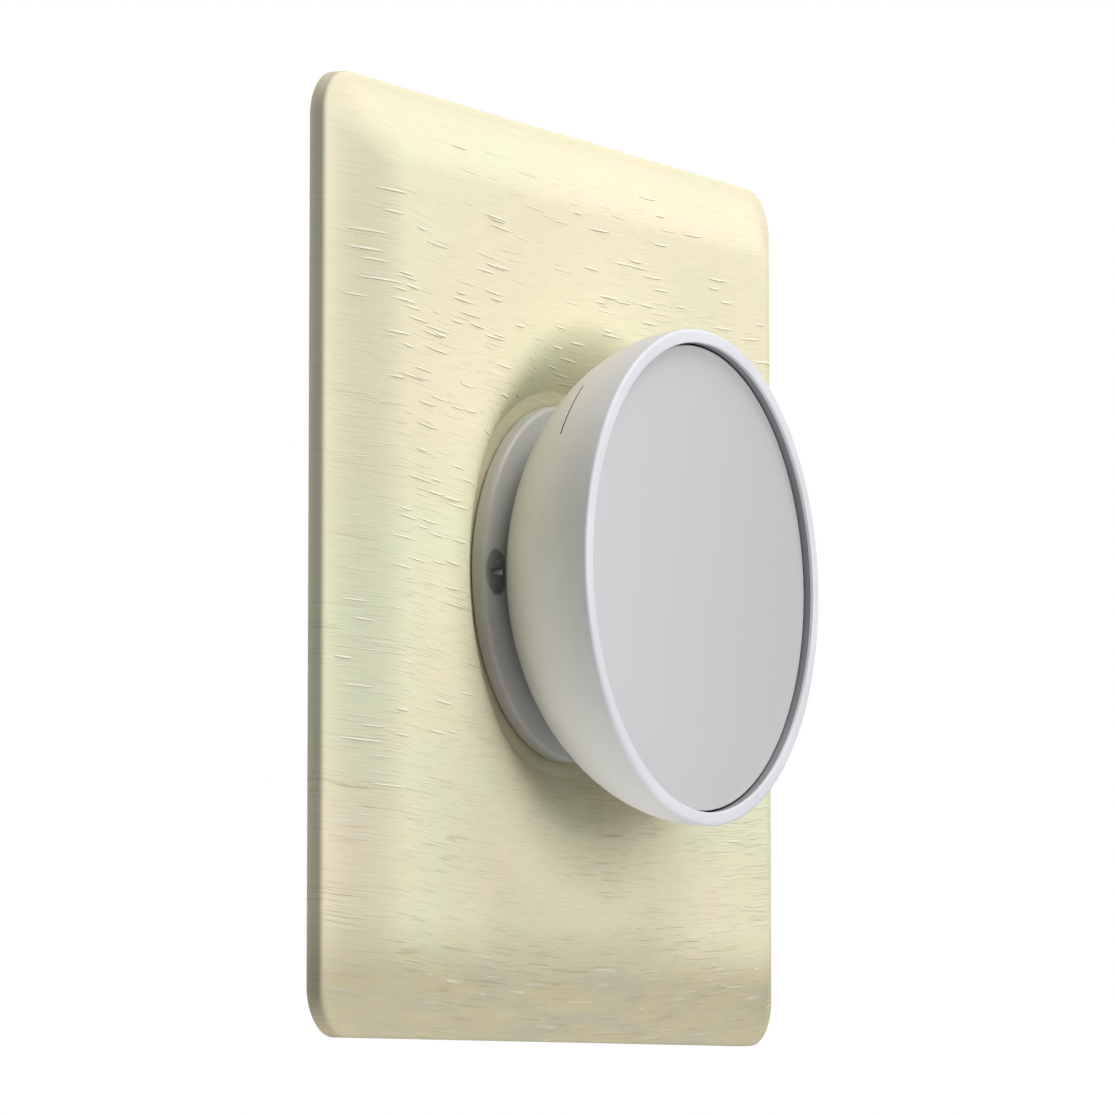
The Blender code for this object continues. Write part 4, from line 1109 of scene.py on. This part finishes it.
back_way = Vector((math.sin(AZIMUTH) * math.cos(ELEVATION),
                   -math.cos(AZIMUTH) * math.cos(ELEVATION), math.sin(ELEVATION)))
camera_data = bpy.data.cameras.new("camera")
camera_data.sensor_width = SENSOR
camera_data.lens = SENSOR * DISTANCE / VIEW_WIDTH
camera = bpy.data.objects.new("camera", camera_data)
bpy.context.scene.collection.objects.link(camera)
camera.location = AIM + back_way * DISTANCE
camera.rotation_euler = back_way.to_track_quat('Z', 'Y').to_euler()
bpy.context.scene.camera = camera


def soft_light(name, place, size, power):
    """A square studio light aimed at the middle of the plate's back."""
    data = bpy.data.lights.new(name, 'AREA')
    data.size = size
    data.energy = power
    made = bpy.data.objects.new(name, data)
    bpy.context.scene.collection.objects.link(made)
    made.visible_camera = False
    made.location = place
    made.rotation_euler = Vector(place).to_track_quat('Z', 'Y').to_euler()


for light in LIGHTS:
    soft_light(*light)

world = bpy.data.worlds.new("studio")
bpy.context.scene.world = world
world.use_nodes = True
world_nodes, world_links = world.node_tree.nodes, world.node_tree.links
ambient = world_nodes["Background"]
ambient.inputs["Color"].default_value = AMBIENT_COLOUR
ambient.inputs["Strength"].default_value = AMBIENT_STRENGTH
seen = world_nodes.new("ShaderNodeBackground")
seen.inputs["Color"].default_value = WHITE
seen.inputs["Strength"].default_value = 1.0
chooser = world_nodes.new("ShaderNodeMixShader")
path = world_nodes.new("ShaderNodeLightPath")
world_links.new(path.outputs["Is Camera Ray"], chooser.inputs[0])
world_links.new(ambient.outputs[0], chooser.inputs[1])
world_links.new(seen.outputs[0], chooser.inputs[2])
world_links.new(chooser.outputs[0], world_nodes["World Output"].inputs["Surface"])
bpy.context.scene.view_settings.view_transform = 'Standard'

floor_mesh = bpy.data.meshes.new("floor")
corners = [(x * FLOOR_REACH, y * FLOOR_REACH, plate_low.z - FLOOR_DROP)
           for x, y in ((-1, -1), (1, -1), (1, 1), (-1, 1))]
floor_mesh.from_pydata(corners, [], [(0, 1, 2, 3)])
floor = bpy.data.objects.new("floor", floor_mesh)
bpy.context.scene.collection.objects.link(floor)
pale = Nodes("pale_floor")
pale_path = pale.tree.nodes.new("ShaderNodeLightPath")
glow = pale.maths('MULTIPLY', pale_path.outputs["Is Camera Ray"], FLOOR_GLOW)
pale.link(glow, pale.shader.inputs["Emission Strength"])
rough = pale.ramp(pale.noise((3, 3, 3)), (0.3, 0.7), (0.7, 0.8))
floor_mesh.materials.append(pale.finish((0.86, 0.86, 0.86), rough, Emission_Color=WHITE))
